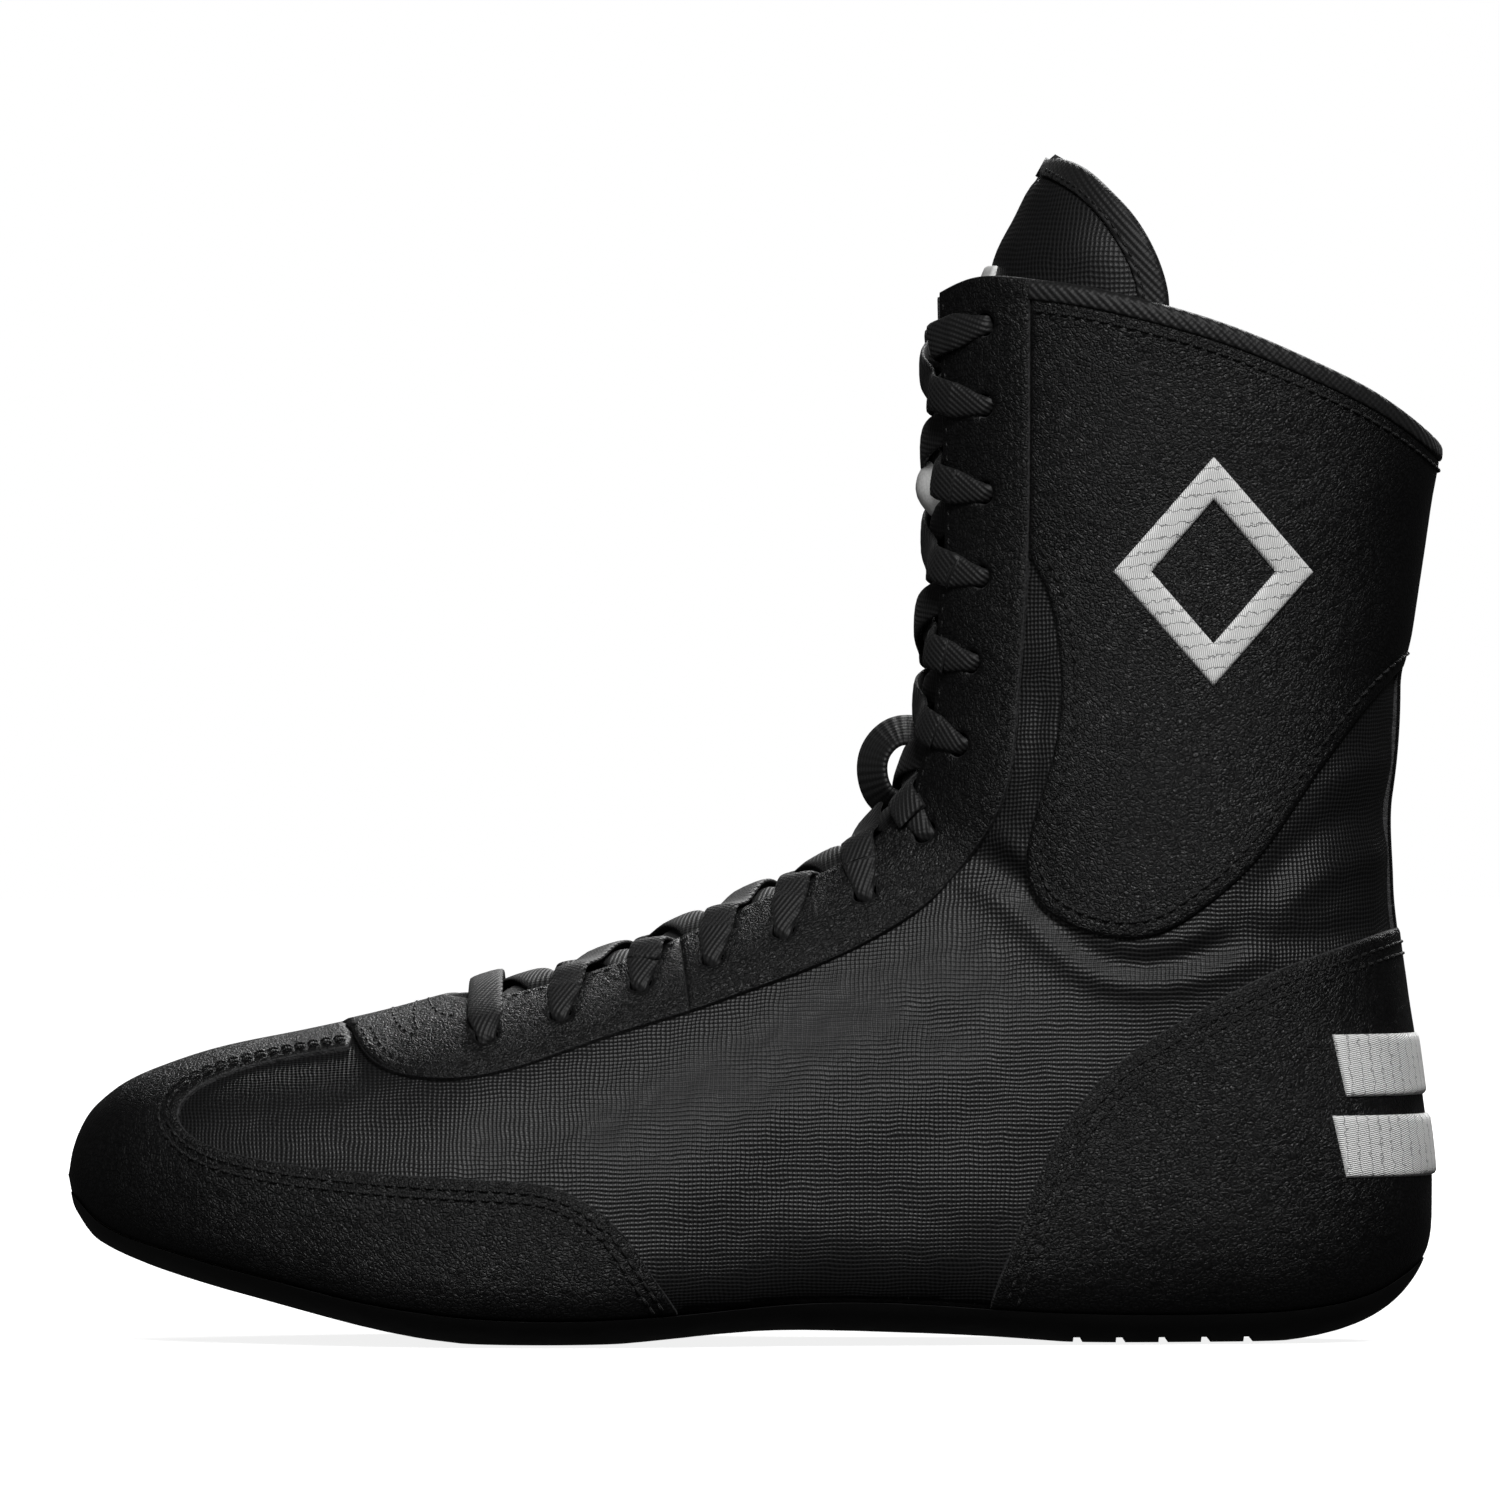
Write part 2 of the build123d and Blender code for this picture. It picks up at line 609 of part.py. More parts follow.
tongue_area = prism(region(TONGUE_BACK, (-20, 262), (80, 150)))
tongue_inside = prism(region(TONGUE_EDGE_INSIDE, (-20, 246), (-20, TONGUE_SPLIT_Z)))
above_split = prism(
    region([(-160, TONGUE_SPLIT_Z), (0, TONGUE_SPLIT_Z), (150, TONGUE_SPLIT_Z)], (150, 290), (-160, 290))
)
with BuildPart() as tongue_edge_area:
    add(tongue_area)
    add(above_split, mode=Mode.INTERSECT)
    add(tongue_inside, mode=Mode.SUBTRACT)

with BuildPart() as tongue:
    add(tongue_layer(*TONGUE))
    add(tongue_area, mode=Mode.INTERSECT)
    add(tongue_edge_area.part, mode=Mode.SUBTRACT)
finish(tongue, "tongue")

with BuildPart() as tongue_binding:
    add(tongue_layer(*TONGUE_EDGE))
    add(tongue_edge_area.part, mode=Mode.INTERSECT)
finish(tongue_binding, "tongue_binding")

with BuildPart() as tongue_loop:
    with BuildSketch(Plane.XZ.offset(-CENTRE_Y - LOOP_WIDTH / 2)):
        with BuildLine():
            Spline(*LOOP)
        trace(line_width=LOOP_THICKNESS)
    extrude(amount=LOOP_WIDTH)
finish(tongue_loop, "tongue_loop")

# ---- embroidery and labels ----------------------------------------------------------------------
def stitched_patch(face, side):
    with BuildPart() as patch:
        add(layer(*STITCHED))
        add(prism(face), mode=Mode.INTERSECT)
        if side:
            add(half_space(side), mode=Mode.INTERSECT)
    return patch


with BuildSketch(side_view) as ankle_mark:
    with Locations(ANKLE_MARK):
        Polygon((0, 24), (21, 0), (0, -24), (-21, 0), align=None)
        Polygon((0, 15), (13, 0), (0, -15), (-13, 0), align=None, mode=Mode.SUBTRACT)
for name, side in sides.items():
    finish(stitched_patch(ankle_mark.sketch, side), f"ankle_emblem_{name}")

with BuildSketch(side_view) as heel_mark:
    for low in HEEL_MARK:
        Polygon((-160, low), (-124, low), (-121, low + 13), (-160, low + 13), align=None)
finish(stitched_patch(heel_mark.sketch, 0), "heel_emblem")

for label, low, high in (("tongue_label_lower", 174.5, 185.5), ("tongue_label_upper", 219.0, 226.5)):
    with BuildPart() as patch:
        add(tongue_layer(TONGUE[1] + 0.03, TONGUE[1] + 0.03 + LABEL_THICKNESS))
        with Locations((-45, CENTRE_Y, (low + high) / 2)):
            Box(40, LABEL_WIDTH, high - low, mode=Mode.INTERSECT)
    finish(patch, label)

# ---- lace ---------------------------------------------------------------------------------------
def throat_point(row, y, offset):
    """A point over the throat, between two rows of eyelets, y out from the centre line."""
    low = min(int(row), len(EYELETS) - 2)
    part = row - low
    x = EYELETS[low][0] + (EYELETS[low + 1][0] - EYELETS[low][0]) * part
    z = EYELETS[low][1] + (EYELETS[low + 1][1] - EYELETS[low][1]) * part
    station, _ = station_of(x, z)
    near, far, half_width, widest, near_power, _ = section(station, offset)
    share = widest * (1 - (1 - (abs(y) / half_width) ** near_power) ** (1 / near_power))
    pivot, across = frame_at(station)
    reach = near + (far - near) * share
    return Vector(
        pivot[0] + across[0] * reach, centre_y(station, 0) + y, pivot[1] + across[1] * reach
    )


def laid(row, y, offset):
    """Where the lace lies flat: its middle and the direction away from the foot."""
    return throat_point(row, y, offset), surface_direction(row, y, offset)


def surface_direction(row, y, offset):
    outward = throat_point(row, y, offset + 1) - throat_point(row, y, offset - 1)
    sideways = throat_point(row, y + 1, offset) - throat_point(row, y - 1, offset)
    along = throat_point(row + 0.2, y, offset) - throat_point(row - 0.2, y, offset)
    square = sideways.cross(along)
    return (square if square.dot(outward) > 0 else -square).normalized()


def eyelet_reach(row):
    x, z = EYELETS[row]
    return surface_point(x, z, 1, 0.4).Y - CENTRE_Y


def edge_places(reach, half_width, over):
    """How a leg passes the edge of the throat, over the leather or under it, going out."""
    if over:
        return [(half_width - 0.6, OVER + 0.6), (half_width + 3.6, OVER + 0.1), (reach - 3.6, OVER)]
    return [(half_width + 1.5, UNDER), (reach - 4.2, UNDER)]


def crossing(row, side, low):
    """The flat part of one leg, from the eyelet of a row to the next one up on the other side."""
    start, end = eyelet_reach(row), eyelet_reach(row + 1)
    half_width = smooth(THROAT_HALF_WIDTH, station_of(*EYELETS[row])[0])
    pitch = math.dist(EYELETS[row], EYELETS[row + 1])
    clear = (LACE_WIDTH / 2 + 0.3) / math.sin(math.atan2(pitch, start + end))
    clear = min(clear, half_width - 3.5)
    heights = LOWER_LEG if low else UPPER_LEG
    path = [(-y, height) for y, height in reversed(edge_places(start, half_width, row > 0))]
    path += [(-clear, heights[2]), (0, heights[1]), (clear, heights[0])]
    path += edge_places(end, half_width, row == len(EYELETS) - 2)
    return [laid(row + (y + start) / (start + end), y * side, height) for y, height in path]


def through(row, side, inward):
    """The lace's two narrow sections in an eyelet, in the order that it passes them."""
    x, z = EYELETS[row]
    normal = surface_normal(x, z, side, 0.4)
    depths = (1.1, -0.7) if inward else (-0.7, 1.1)
    return [(surface_point(x, z, side, 0.4) + normal * depth, normal) for depth in depths]


def tail(side):
    """The loose end inside the shaft, from the top eyelet down to its tip."""
    run = Spline(EYELETS[-1], *LACE_TAIL)
    points = [run @ (step / 8) for step in range(1, 9)]
    return [
        (
            surface_point(point.X, point.Y, side, TAIL_DEPTH),
            surface_normal(point.X, point.Y, side, TAIL_DEPTH),
        )
        for point in points
    ]


def way_up(side, low):
    """One end of the lace, from the eyelet of the first row to its tip inside the shaft."""
    end = [(place, True) for place in through(0, side, inward=True)]
    for row in range(len(EYELETS) - 1):
        side = -side
        end += [(place, False) for place in crossing(row, side, low)]
        end += [(place, True) for place in through(row + 1, side, inward=row == len(EYELETS) - 2)]
    return end + [(place, False) for place in tail(side)]


bar = eyelet_reach(0) - 3.6
route = list(reversed(way_up(1, low=True)))
route += [(laid(0, bar * share, OVER), False) for share in (1, 0.6, 0.2, -0.2, -0.6, -1)]
route += way_up(-1, low=False)

rims = []  # the four corners of each cross section of the lace
aside = Vector(0, 0, 0)
for k, ((point, normal), narrow) in enumerate(route):
    before, after = route[max(k - 1, 0)], route[min(k + 1, len(route) - 1)]
    size = (LACE_WIDTH, LACE_THICKNESS)
    if narrow:
        entering = after[1]  # the first of the two sections in this eyelet
        partner, flat = (after, before) if entering else (before, after)
        onward = 1 if entering else -1
        travel = normal if (partner[0][0] - point).dot(normal) * onward > 0 else -normal
        square = ((point - flat[0][0]) * onward).cross(normal).normalized()
        size = (3.4, 1.9)
    else:
        travel = (after[0][0] - before[0][0]).normalized()
        square = travel.cross(normal).normalized()
        if k in (0, len(route) - 1):
            size = (2.2, LACE_THICKNESS)
    aside = square if square.dot(aside) >= 0 else -square  # no half turn between two sections
    up = travel.cross(aside).normalized()
    across, rise = aside * (size[0] / 2), up * (size[1] / 2)
    rims.append([point + across + rise, point - across + rise, point - across - rise, point + across - rise])

skin = [Face(Wire.make_polygon(rims[0])), Face(Wire.make_polygon(rims[-1]))]
for rim, following in zip(rims, rims[1:]):
    for corner in range(4):
        a, b = rim[corner - 1], rim[corner]
        c, d = following[corner], following[corner - 1]
        skin += [Face(Wire.make_polygon([a, b, c])), Face(Wire.make_polygon([a, c, d]))]
with BuildPart() as lace:
    add(Solid(Shell(skin)))
finish(lace, "lace")

for name, side in sides.items():
    tip, before = tail(side)[-1][0], tail(side)[-2][0]
    with BuildPart() as aglet:
        with BuildSketch(Plane(origin=tip, z_dir=(tip - before).normalized())):
            Circle(AGLET_RADIUS)
        extrude(amount=AGLET_LENGTH)
        chamfer(aglet.faces().sort_by(Axis.Z)[0].edges(), 0.4)
    finish(aglet, f"aglet_{name}")

os.makedirs("parts", exist_ok=True)
for part in finished:
    export_step(part, f"parts/{part.label}.step")
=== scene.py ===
"""Looks for the boxing boot. Lengths are in millimetres until a mesh is made, which is in metres.

The upper is a stack of layers wrapped round one foot-shaped body, as in the CAD model. Body holds a
table of that surface. A place on it is a pair of table indices, (row, column): rows are stations from
the toe back round the instep and up the shaft, columns run from the near centre line (top of the foot,
front of the shaft) to the far one (sole, back of the heel). Body.flat unrolls the surface to a flat
drawing in millimetres, in which the panels are cut, meshed and measured.
"""

import math

import bmesh
import bpy
import numpy as np
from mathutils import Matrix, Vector, kdtree
from mathutils.geometry import delaunay_2d_cdt


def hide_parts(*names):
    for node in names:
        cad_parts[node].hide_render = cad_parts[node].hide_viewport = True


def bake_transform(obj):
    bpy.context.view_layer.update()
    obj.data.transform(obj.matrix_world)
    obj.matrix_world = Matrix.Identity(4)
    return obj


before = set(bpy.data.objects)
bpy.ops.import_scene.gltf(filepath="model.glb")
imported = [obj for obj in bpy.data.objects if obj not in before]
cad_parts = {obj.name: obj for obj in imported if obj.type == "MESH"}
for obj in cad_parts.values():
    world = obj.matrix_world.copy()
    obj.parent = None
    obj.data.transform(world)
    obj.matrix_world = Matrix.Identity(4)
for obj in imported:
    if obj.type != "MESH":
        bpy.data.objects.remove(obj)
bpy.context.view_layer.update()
MM = 0.001

# ---- the foot-shaped body, as in the CAD model --------------------------------------------------
TOE_X, BEND_X, BEND_Z = 145.5, -8.0, 138.0
TOE_BULGE = 0.35
HALF_TURN = 180
SHAFT_TOP_Z, CENTRE_Y, OUTER = 236.0, -0.45, 2.0
BEND_START = TOE_X - BEND_X
BEND_END = BEND_START + 90.0
NEAR = [
    (0, 103.0), (0.8, 98.2), (2, 94.4), (4, 90.8), (6.3, 88.2), (12.6, 83.4), (19, 80.5),
    (31.5, 76.5), (50.5, 72.5), (69, 68.3), (88, 62.9), (107, 56.8), (126, 49.8), (140, 43.5),
    (153.5, 38), (165, 35), (177, 32.2), (188, 30.4), (202, 28.2), (219.5, 26.2),
    (243.5, 25.3), (263, 25.8), (275, 27), (300, 26.8), (328, 26.6), (345, 27),
]
FAR = [
    (0, 104), (0.8, 107.8), (2, 110.8), (4, 114.2), (6.3, 116.8), (12.6, 120.1), (19, 122.5),
    (31.5, 126.2), (50.5, 131.1), (69, 135.6), (88, 138.2), (107, 138.4), (126, 137),
    (140, 135.6), (153.5, 135), (165.5, 138.6), (177.5, 151.3), (187.5, 166.8), (191.5, 174.3),
    (195, 179), (198, 181.2), (201.5, 179.5), (205.5, 171.5), (211.5, 156.5), (217.5, 144.6),
    (225.5, 134), (233.5, 129.3), (243.5, 129), (254.5, 131), (267, 133), (279.5, 135),
    (292, 137), (305, 138.6), (345, 143),
]
HALF_WIDTH = [
    (0, 3.5), (0.8, 7.5), (2, 11), (4, 14.6), (6.3, 17.8), (12.6, 25), (19, 30), (31.5, 36.5),
    (50.5, 42.4), (69, 46.4), (88, 48.8), (107, 48.6), (126, 46), (140, 43.2), (153.5, 40.8),
    (165.5, 38.6), (177.5, 37), (187.5, 36.2), (197.5, 35.8), (211.5, 36.2), (223, 36.4),
    (243.5, 35.8), (262, 36), (280, 37), (300, 38.5), (320, 40), (345, 42),
]
NEAR_CENTRE = [(0, -8), (12.6, -7.3), (31.5, -5.5), (50.5, -4), (69, -2.5), (88, -1.2), (120, 0)]
FAR_CENTRE = [
    (0, -8), (12.6, -7.5), (31.5, -5), (50.5, -3), (69, -1), (88, 0.2), (107, 2), (126, 3.6),
    (145, 4.6), (165, 3.8), (177, 2), (190, 0.5), (200, 0),
]
WIDEST = [
    (0, 0.52), (31, 0.62), (69, 0.66), (107, 0.68), (140, 0.66), (165, 0.58), (190, 0.5),
    (210, 0.47), (345, 0.48),
]
NEAR_POWER = [(0, 2.1), (69, 2.15), (107, 2.05), (140, 2.0), (345, 2.05)]
FAR_POWER = [
    (0, 2.4), (12, 2.8), (31, 3.6), (69, 4.4), (150, 4.2), (177, 3.6), (190, 3.0), (200, 2.5),
    (215, 2.3), (345, 2.2),
]
TONGUE_LEAN = [(288, 0), (310, 3.5), (328, 9.5), (345, 16), (360, 24)]

# ---- outlines seen from the side, as (x, z) -----------------------------------------------------
SOLE_EDGE = [
    (158, 38), (150, 34), (144, 30), (139.4, 25.5), (128, 20.5), (113, 16.4), (99, 13), (85, 9.6),
    (74, 7.6), (55, 5.6), (35, 5.4), (15, 6.6), (-10, 8.8), (-30, 8.8), (-50, 7.4), (-75, 6.2),
    (-100, 6.2), (-120, 7.6), (-132, 11), (-140, 16), (-160, 30),
]
COLLAR = [
    (-30, 216), (-38.2, 220.6), (-46, 223.9), (-55.6, 223.6), (-68.7, 221.7), (-81.3, 218.8),
    (-93.9, 215.3), (-106.5, 210.8), (-119.1, 205.4), (-131.7, 199.3), (-145.3, 189.8), (-160, 178),
]
THROAT_HALF_WIDTH = [
    (80.5, 1.5), (82, 7.5), (84, 11.8), (87, 15), (91, 17.2), (100, 18.9), (112, 19.5),
    (124, 18.4), (140, 16.6), (157, 14.8), (190, 13.8), (204, 13.8), (222, 15), (250, 16),
    (300, 16.4), (345, 16.4),
]
EYESTAY_EDGE = [
    (84.8, 65.5), (80.6, 60), (71.8, 56.7), (60.5, 56.5), (50, 58.6), (37, 63), (24.8, 67),
    (13.4, 70.4), (2.1, 74.3), (-15.3, 80.8), (-28.3, 87.4), (-37, 93.5), (-43.9, 101.2),
    (-50.2, 110.5), (-53.5, 120.5), (-55, 135.2), (-56.2, 150), (-57.2, 167.8), (-57.5, 194),
    (-57.5, 240),
]
FACING_SEAM = [(17.0, 95.0), (11.0, 50.0)]
ANKLE_PANEL = [
    (-57.3, 165.3), (-60.9, 158.3), (-63, 149.9), (-64, 138), (-61.9, 122.2), (-58, 109.2),
    (-56.7, 100.4), (-58, 95.1), (-62.4, 90.1), (-70.1, 86.5), (-77.9, 85.3), (-85, 86.5),
    (-92.8, 90.9), (-104, 100.4), (-115.7, 116), (-124.3, 127.7), (-133.1, 138), (-139, 143.4),
]
HEEL_COUNTER = [
    (-160, 88.5), (-137, 87.4), (-124.3, 83.6), (-111.3, 79.2), (-98.3, 73), (-85.3, 65.5),
    (-76.4, 59.4), (-69.5, 52.3), (-64.3, 45.4), (-60.1, 36.8), (-57.3, 29.8), (-54.8, 22.7),
    (-52.1, 15.8), (-49.6, 8.4), (-48, 2),
]
TOE_WINDOW = [
    (85.5, 62.8), (99.3, 60.3), (109.8, 57.6), (115.9, 55), (120.1, 51.8), (121.6, 47.9),
    (119.3, 44.5), (113.2, 41.4), (104.6, 39.3), (87.1, 37), (69.7, 35.7), (52.3, 34.9),
    (40.9, 33.2), (34, 29.6), (27.9, 24.4), (21.8, 15.8), (14.9, 4.4), (13.5, 1),
]
TONGUE_BACK = [
    (80, 58), (60, 59), (40, 63.5), (20, 70), (0, 77), (-15, 83), (-28, 89.5), (-41, 98),
    (-51, 110), (-58, 124), (-63, 142), (-67, 160), (-73, 180), (-80, 200), (-86.7, 217.1),
    (-85.3, 225), (-82.7, 231), (-78.8, 237.1), (-73.3, 243.2), (-67.2, 248.4), (-63.4, 250),
]
EYELETS = [
    (56.3, 64.9), (40.9, 69.5), (24.1, 75.8), (9, 81.1), (-5.9, 86.9), (-23.1, 94.7),
    (-35.7, 107.5), (-43, 125.8), (-45.4, 143.2), (-47.4, 161.1), (-48.2, 178.7), (-48.2, 197),
    (-48.3, 214),
]
EYELET_RADIUS = 2.5
SIDES = {"lateral": 1, "medial": -1}


def smooth(keys, places):
    """Values on a smooth curve through the keys, which never overshoots them."""
    x, y = np.array(keys, float).T
    rise = np.diff(y) / np.diff(x)
    slope = np.concatenate([[rise[0]], np.zeros(len(x) - 2), [rise[-1]]])
    before, after = rise[:-1], rise[1:]
    same = before * after > 0
    slope[1:-1] = np.where(same, 2 * before * after / np.where(same, before + after, 1), 0)
    place = np.clip(np.asarray(places, float), x[0], x[-1])
    i = np.clip(np.searchsorted(x, place, side="right") - 1, 0, len(x) - 2)
    span = x[i + 1] - x[i]
    t = (place - x[i]) / span
    return (
        y[i] * (1 + 2 * t) * (1 - t) ** 2
        + slope[i] * span * t * (1 - t) ** 2
        + y[i + 1] * t * t * (3 - 2 * t)
        - slope[i + 1] * span * t * t * (1 - t)
    )


def spline(points, step=0.9):
    """A smooth curve through the points, with a point every step."""
    p = np.array(points, float)
    t = np.concatenate([[0], np.cumsum(np.linalg.norm(np.diff(p, axis=0), axis=1))])
    n, h = len(p), np.diff(t)
    a, r = np.zeros((n, n)), np.zeros((n, p.shape[1]))
    a[0, 0] = a[-1, -1] = 1
    for i in range(1, n - 1):
        a[i, i - 1 : i + 2] = h[i - 1], 2 * (h[i - 1] + h[i]), h[i]
        r[i] = 6 * ((p[i + 1] - p[i]) / h[i] - (p[i] - p[i - 1]) / h[i - 1])
    m = np.linalg.solve(a, r)
    q = np.linspace(0, t[-1], int(t[-1] / step) + 2)
    i = np.clip(np.searchsorted(t, q, side="right") - 1, 0, n - 2)
    b, c, d = (t[i + 1] - q)[:, None], (q - t[i])[:, None], h[i][:, None]
    return (
        (m[i] * b**3 + m[i + 1] * c**3) / (6 * d)
        + (p[i] / d - m[i] * d / 6) * b
        + (p[i + 1] / d - m[i + 1] * d / 6) * c
    )


def section(station, base, lean):
    """Near and far distance, half width, widest share and the two powers, at many stations."""
    inset = OUTER - base
    tip = np.exp(-np.maximum(station, 0) / 14.0)
    along = np.maximum(station, 0) - inset * tip
    inset = inset * (1 - tip)
    near = smooth(NEAR, along) + inset + (smooth(TONGUE_LEAN, station) if lean else 0)
    return (
        near, smooth(FAR, along) - inset, smooth(HALF_WIDTH, along) - inset,
        smooth(WIDEST, station), smooth(NEAR_POWER, station), smooth(FAR_POWER, station),
    )


def frames(station):
    """Pivots and directions across the body, as (x, z)."""
    turn = np.radians(np.clip(station - BEND_START, 0, 90))
    x = np.where(station < BEND_START, TOE_X - station, BEND_X)
    z = np.where(station > BEND_END, BEND_Z + station - BEND_END, BEND_Z)
    return np.stack([x, z], -1), np.stack([-np.sin(turn), -np.cos(turn)], -1)


def unit(vectors):
    return vectors / np.maximum(np.linalg.norm(vectors, axis=-1, keepdims=True), 1e-9)


def parallels(line, distances):
    """The lines at these distances on both sides of a flat line."""
    way = unit(np.gradient(line, axis=0))
    across = np.stack([-way[:, 1], way[:, 0]], -1)
    return [line + across * distance * hand for distance in distances for hand in (1, -1)]


class Body:
    """The table of the surface at an offset of base from the seam."""

    COLUMNS = 120

    def __init__(self, base=OUTER, lean=False, longer=0.0):
        top = BEND_END + SHAFT_TOP_Z - BEND_Z + longer
        self.base = base
        self.lean = lean
        self.stations = np.concatenate([
            [-1, -0.9, -0.7, -0.4], np.arange(0, 6, 0.25), np.arange(6, BEND_START, 1.0),
            np.arange(BEND_START, BEND_END, 0.5), np.arange(BEND_END, top + 0.5, 1.0),
        ])
        s, m = self.stations, self.COLUMNS
        near, far, half_width, widest, near_power, far_power = (v[:, None] for v in section(s, base, lean))
        closing = np.clip(1 + s, 0, 1)[:, None]
        middle = near + (far - near) * widest
        near = middle + (near - middle) * np.sqrt(closing)
        far = middle + (far - middle) * np.sqrt(closing)
        half_width = half_width * np.sqrt(closing)
        pivot, across = frames(s)
        bulge = np.where(s < 0, TOE_BULGE * (1 - np.sqrt(closing[:, 0])), 0)
        pivot[:, 0] = np.minimum(pivot[:, 0], TOE_X) + bulge
        turn = np.linspace(0, math.pi, 2 * HALF_TURN + 1)[None, :]
        rest, swell = np.abs(np.cos(turn)), np.abs(np.sin(turn))
        first = turn < math.pi / 2
        share = np.where(
            first, widest * (1 - rest ** (2 / near_power)),
            widest + (1 - widest) * rest ** (2 / far_power),
        )
        swell = np.where(first, swell ** (2 / near_power), swell ** (2 / far_power))
        swell[:, 0] = swell[:, -1] = 0
        reach, wide = near + (far - near) * share, half_width * swell
        length = np.concatenate(
            [np.zeros((len(s), 1)), np.cumsum(np.hypot(np.diff(reach), np.diff(wide)), axis=1)], 1
        )
        arc = length[:, -1:] * np.linspace(0, 1, m + 1)
        reach_m, wide_m, share_m, turn_m = (
            np.array([np.interp(*row) for row in zip(arc, length, table)])
            for table in (reach, wide, share, np.repeat(turn, len(s), axis=0))
        )
        wide_m[:, 0] = wide_m[:, -1] = 0
        unrolled = arc + (reach - length)[:, HALF_TURN, None]
        width_slope = np.abs(np.gradient(half_width[:, 0], s))
        stretch = np.where(s < 60, np.sqrt(1 + width_slope**2) - 1, 0)
        extra = np.cumsum((stretch * np.gradient(s))[::-1])[::-1]
        self.flat = np.stack([
            pivot[:, :1] + extra[:, None] + across[:, :1] * unrolled,
            pivot[:, 1:] + across[:, 1:] * unrolled,
        ], -1)
        self.flat[:, :, 0] -= np.where(s < 0, s, 0)[:, None]
        centre_near, centre_far = smooth(NEAR_CENTRE, s)[:, None], smooth(FAR_CENTRE, s)[:, None]
        centre = CENTRE_Y + centre_near + (centre_far - centre_near) * share_m
        x = pivot[:, :1] + across[:, :1] * reach_m
        z = pivot[:, 1:] + across[:, 1:] * reach_m
        outer = np.stack([x, centre + wide_m, z], -1)
        inner = np.stack([x, centre - wide_m, z], -1)
        self.ring = np.concatenate([outer, inner[:, -2:0:-1]], 1)
        self.turns = turn_m
        along = np.gradient(self.ring, axis=0)
        around = np.roll(self.ring, -1, 1) - np.roll(self.ring, 1, 1)
        normal = np.cross(around, along)
        normal[0] = (1, 0, 0)
        normal = unit(normal)
        hub = self.ring.mean(1, keepdims=True)
        normal *= np.sign((normal * (self.ring - hub)).sum(-1).mean(1))[:, None, None]
        normal[:4] = (1, 0, 0)
        self.normal = normal
        self.tree = kdtree.KDTree(self.flat.shape[0] * self.flat.shape[1])
        for k, (u, v) in enumerate(self.flat.reshape(-1, 2)):
            self.tree.insert((u, v, 0), k)
        self.tree.balance()

    def mix(self, table, row, column):
        """Values of a table between its entries. Columns wrap if the table is the whole ring."""
        i = np.clip(np.floor(row).astype(int), 0, table.shape[0] - 2)
        j = np.floor(column).astype(int)
        a, b = (row - i)[:, None], (column - j)[:, None]
        if table.shape[1] == 2 * self.COLUMNS:
            j0, j1 = j % table.shape[1], (j + 1) % table.shape[1]
        else:
            j0 = np.clip(j, 0, table.shape[1] - 2)
            b = (column - j0)[:, None]
            j1 = j0 + 1
        return (
            (table[i, j0] * (1 - a) + table[i + 1, j0] * a) * (1 - b)
            + (table[i, j1] * (1 - a) + table[i + 1, j1] * a) * b
        )

    def at(self, row, column, side, offset):
        """Points at an offset outside the seam, and the outward direction there."""
        around = column if side > 0 else 2 * self.COLUMNS - column
        normal = unit(self.mix(self.normal, row, around))
        point = self.mix(self.ring, row, around)
        return point + normal * (np.asarray(offset, float).reshape(-1, 1) - self.base), normal

    def station(self, row):
        return np.interp(row, np.arange(len(self.stations)), self.stations)

    def row(self, station):
        return np.interp(station, self.stations, np.arange(len(self.stations)))

    def place(self, x, z):
        """(row, column, share across) of points seen from the side. A share beyond 0..1 is off the body."""
        x, z = np.asarray(x, float), np.asarray(z, float)
        turn = np.arctan2(BEND_X - x, BEND_Z - z)
        station = np.where(
            x >= BEND_X, TOE_X - x,
            np.where(z >= BEND_Z, BEND_END + z - BEND_Z, BEND_START + np.degrees(turn)),
        )
        across = np.where(
            x >= BEND_X, BEND_Z - z, np.where(z >= BEND_Z, BEND_X - x, np.hypot(BEND_X - x, BEND_Z - z))
        )
        near, far, _, widest, near_power, far_power = section(station, self.base, self.lean)
        share = (across - near) / (far - near)
        share = np.where(station < 0, -1, share)
        inside = np.clip(share, 0, 1)
        low = np.arccos(np.clip(1 - inside / widest, 0, 1) ** (near_power / 2))
        high = math.pi - np.arccos(np.clip((inside - widest) / (1 - widest), 0, 1) ** (far_power / 2))
        wanted = np.where(inside < widest, low, high)
        row = self.row(station)
        i = np.clip(np.floor(row).astype(int), 0, len(self.stations) - 2)
        part = row - i
        column = np.zeros(len(row))
        columns = np.arange(self.COLUMNS + 1)
        for k in range(len(row)):
            turns = self.turns[i[k]] * (1 - part[k]) + self.turns[i[k] + 1] * part[k]
            column[k] = np.interp(wanted[k], turns, columns)
        return row, column, share

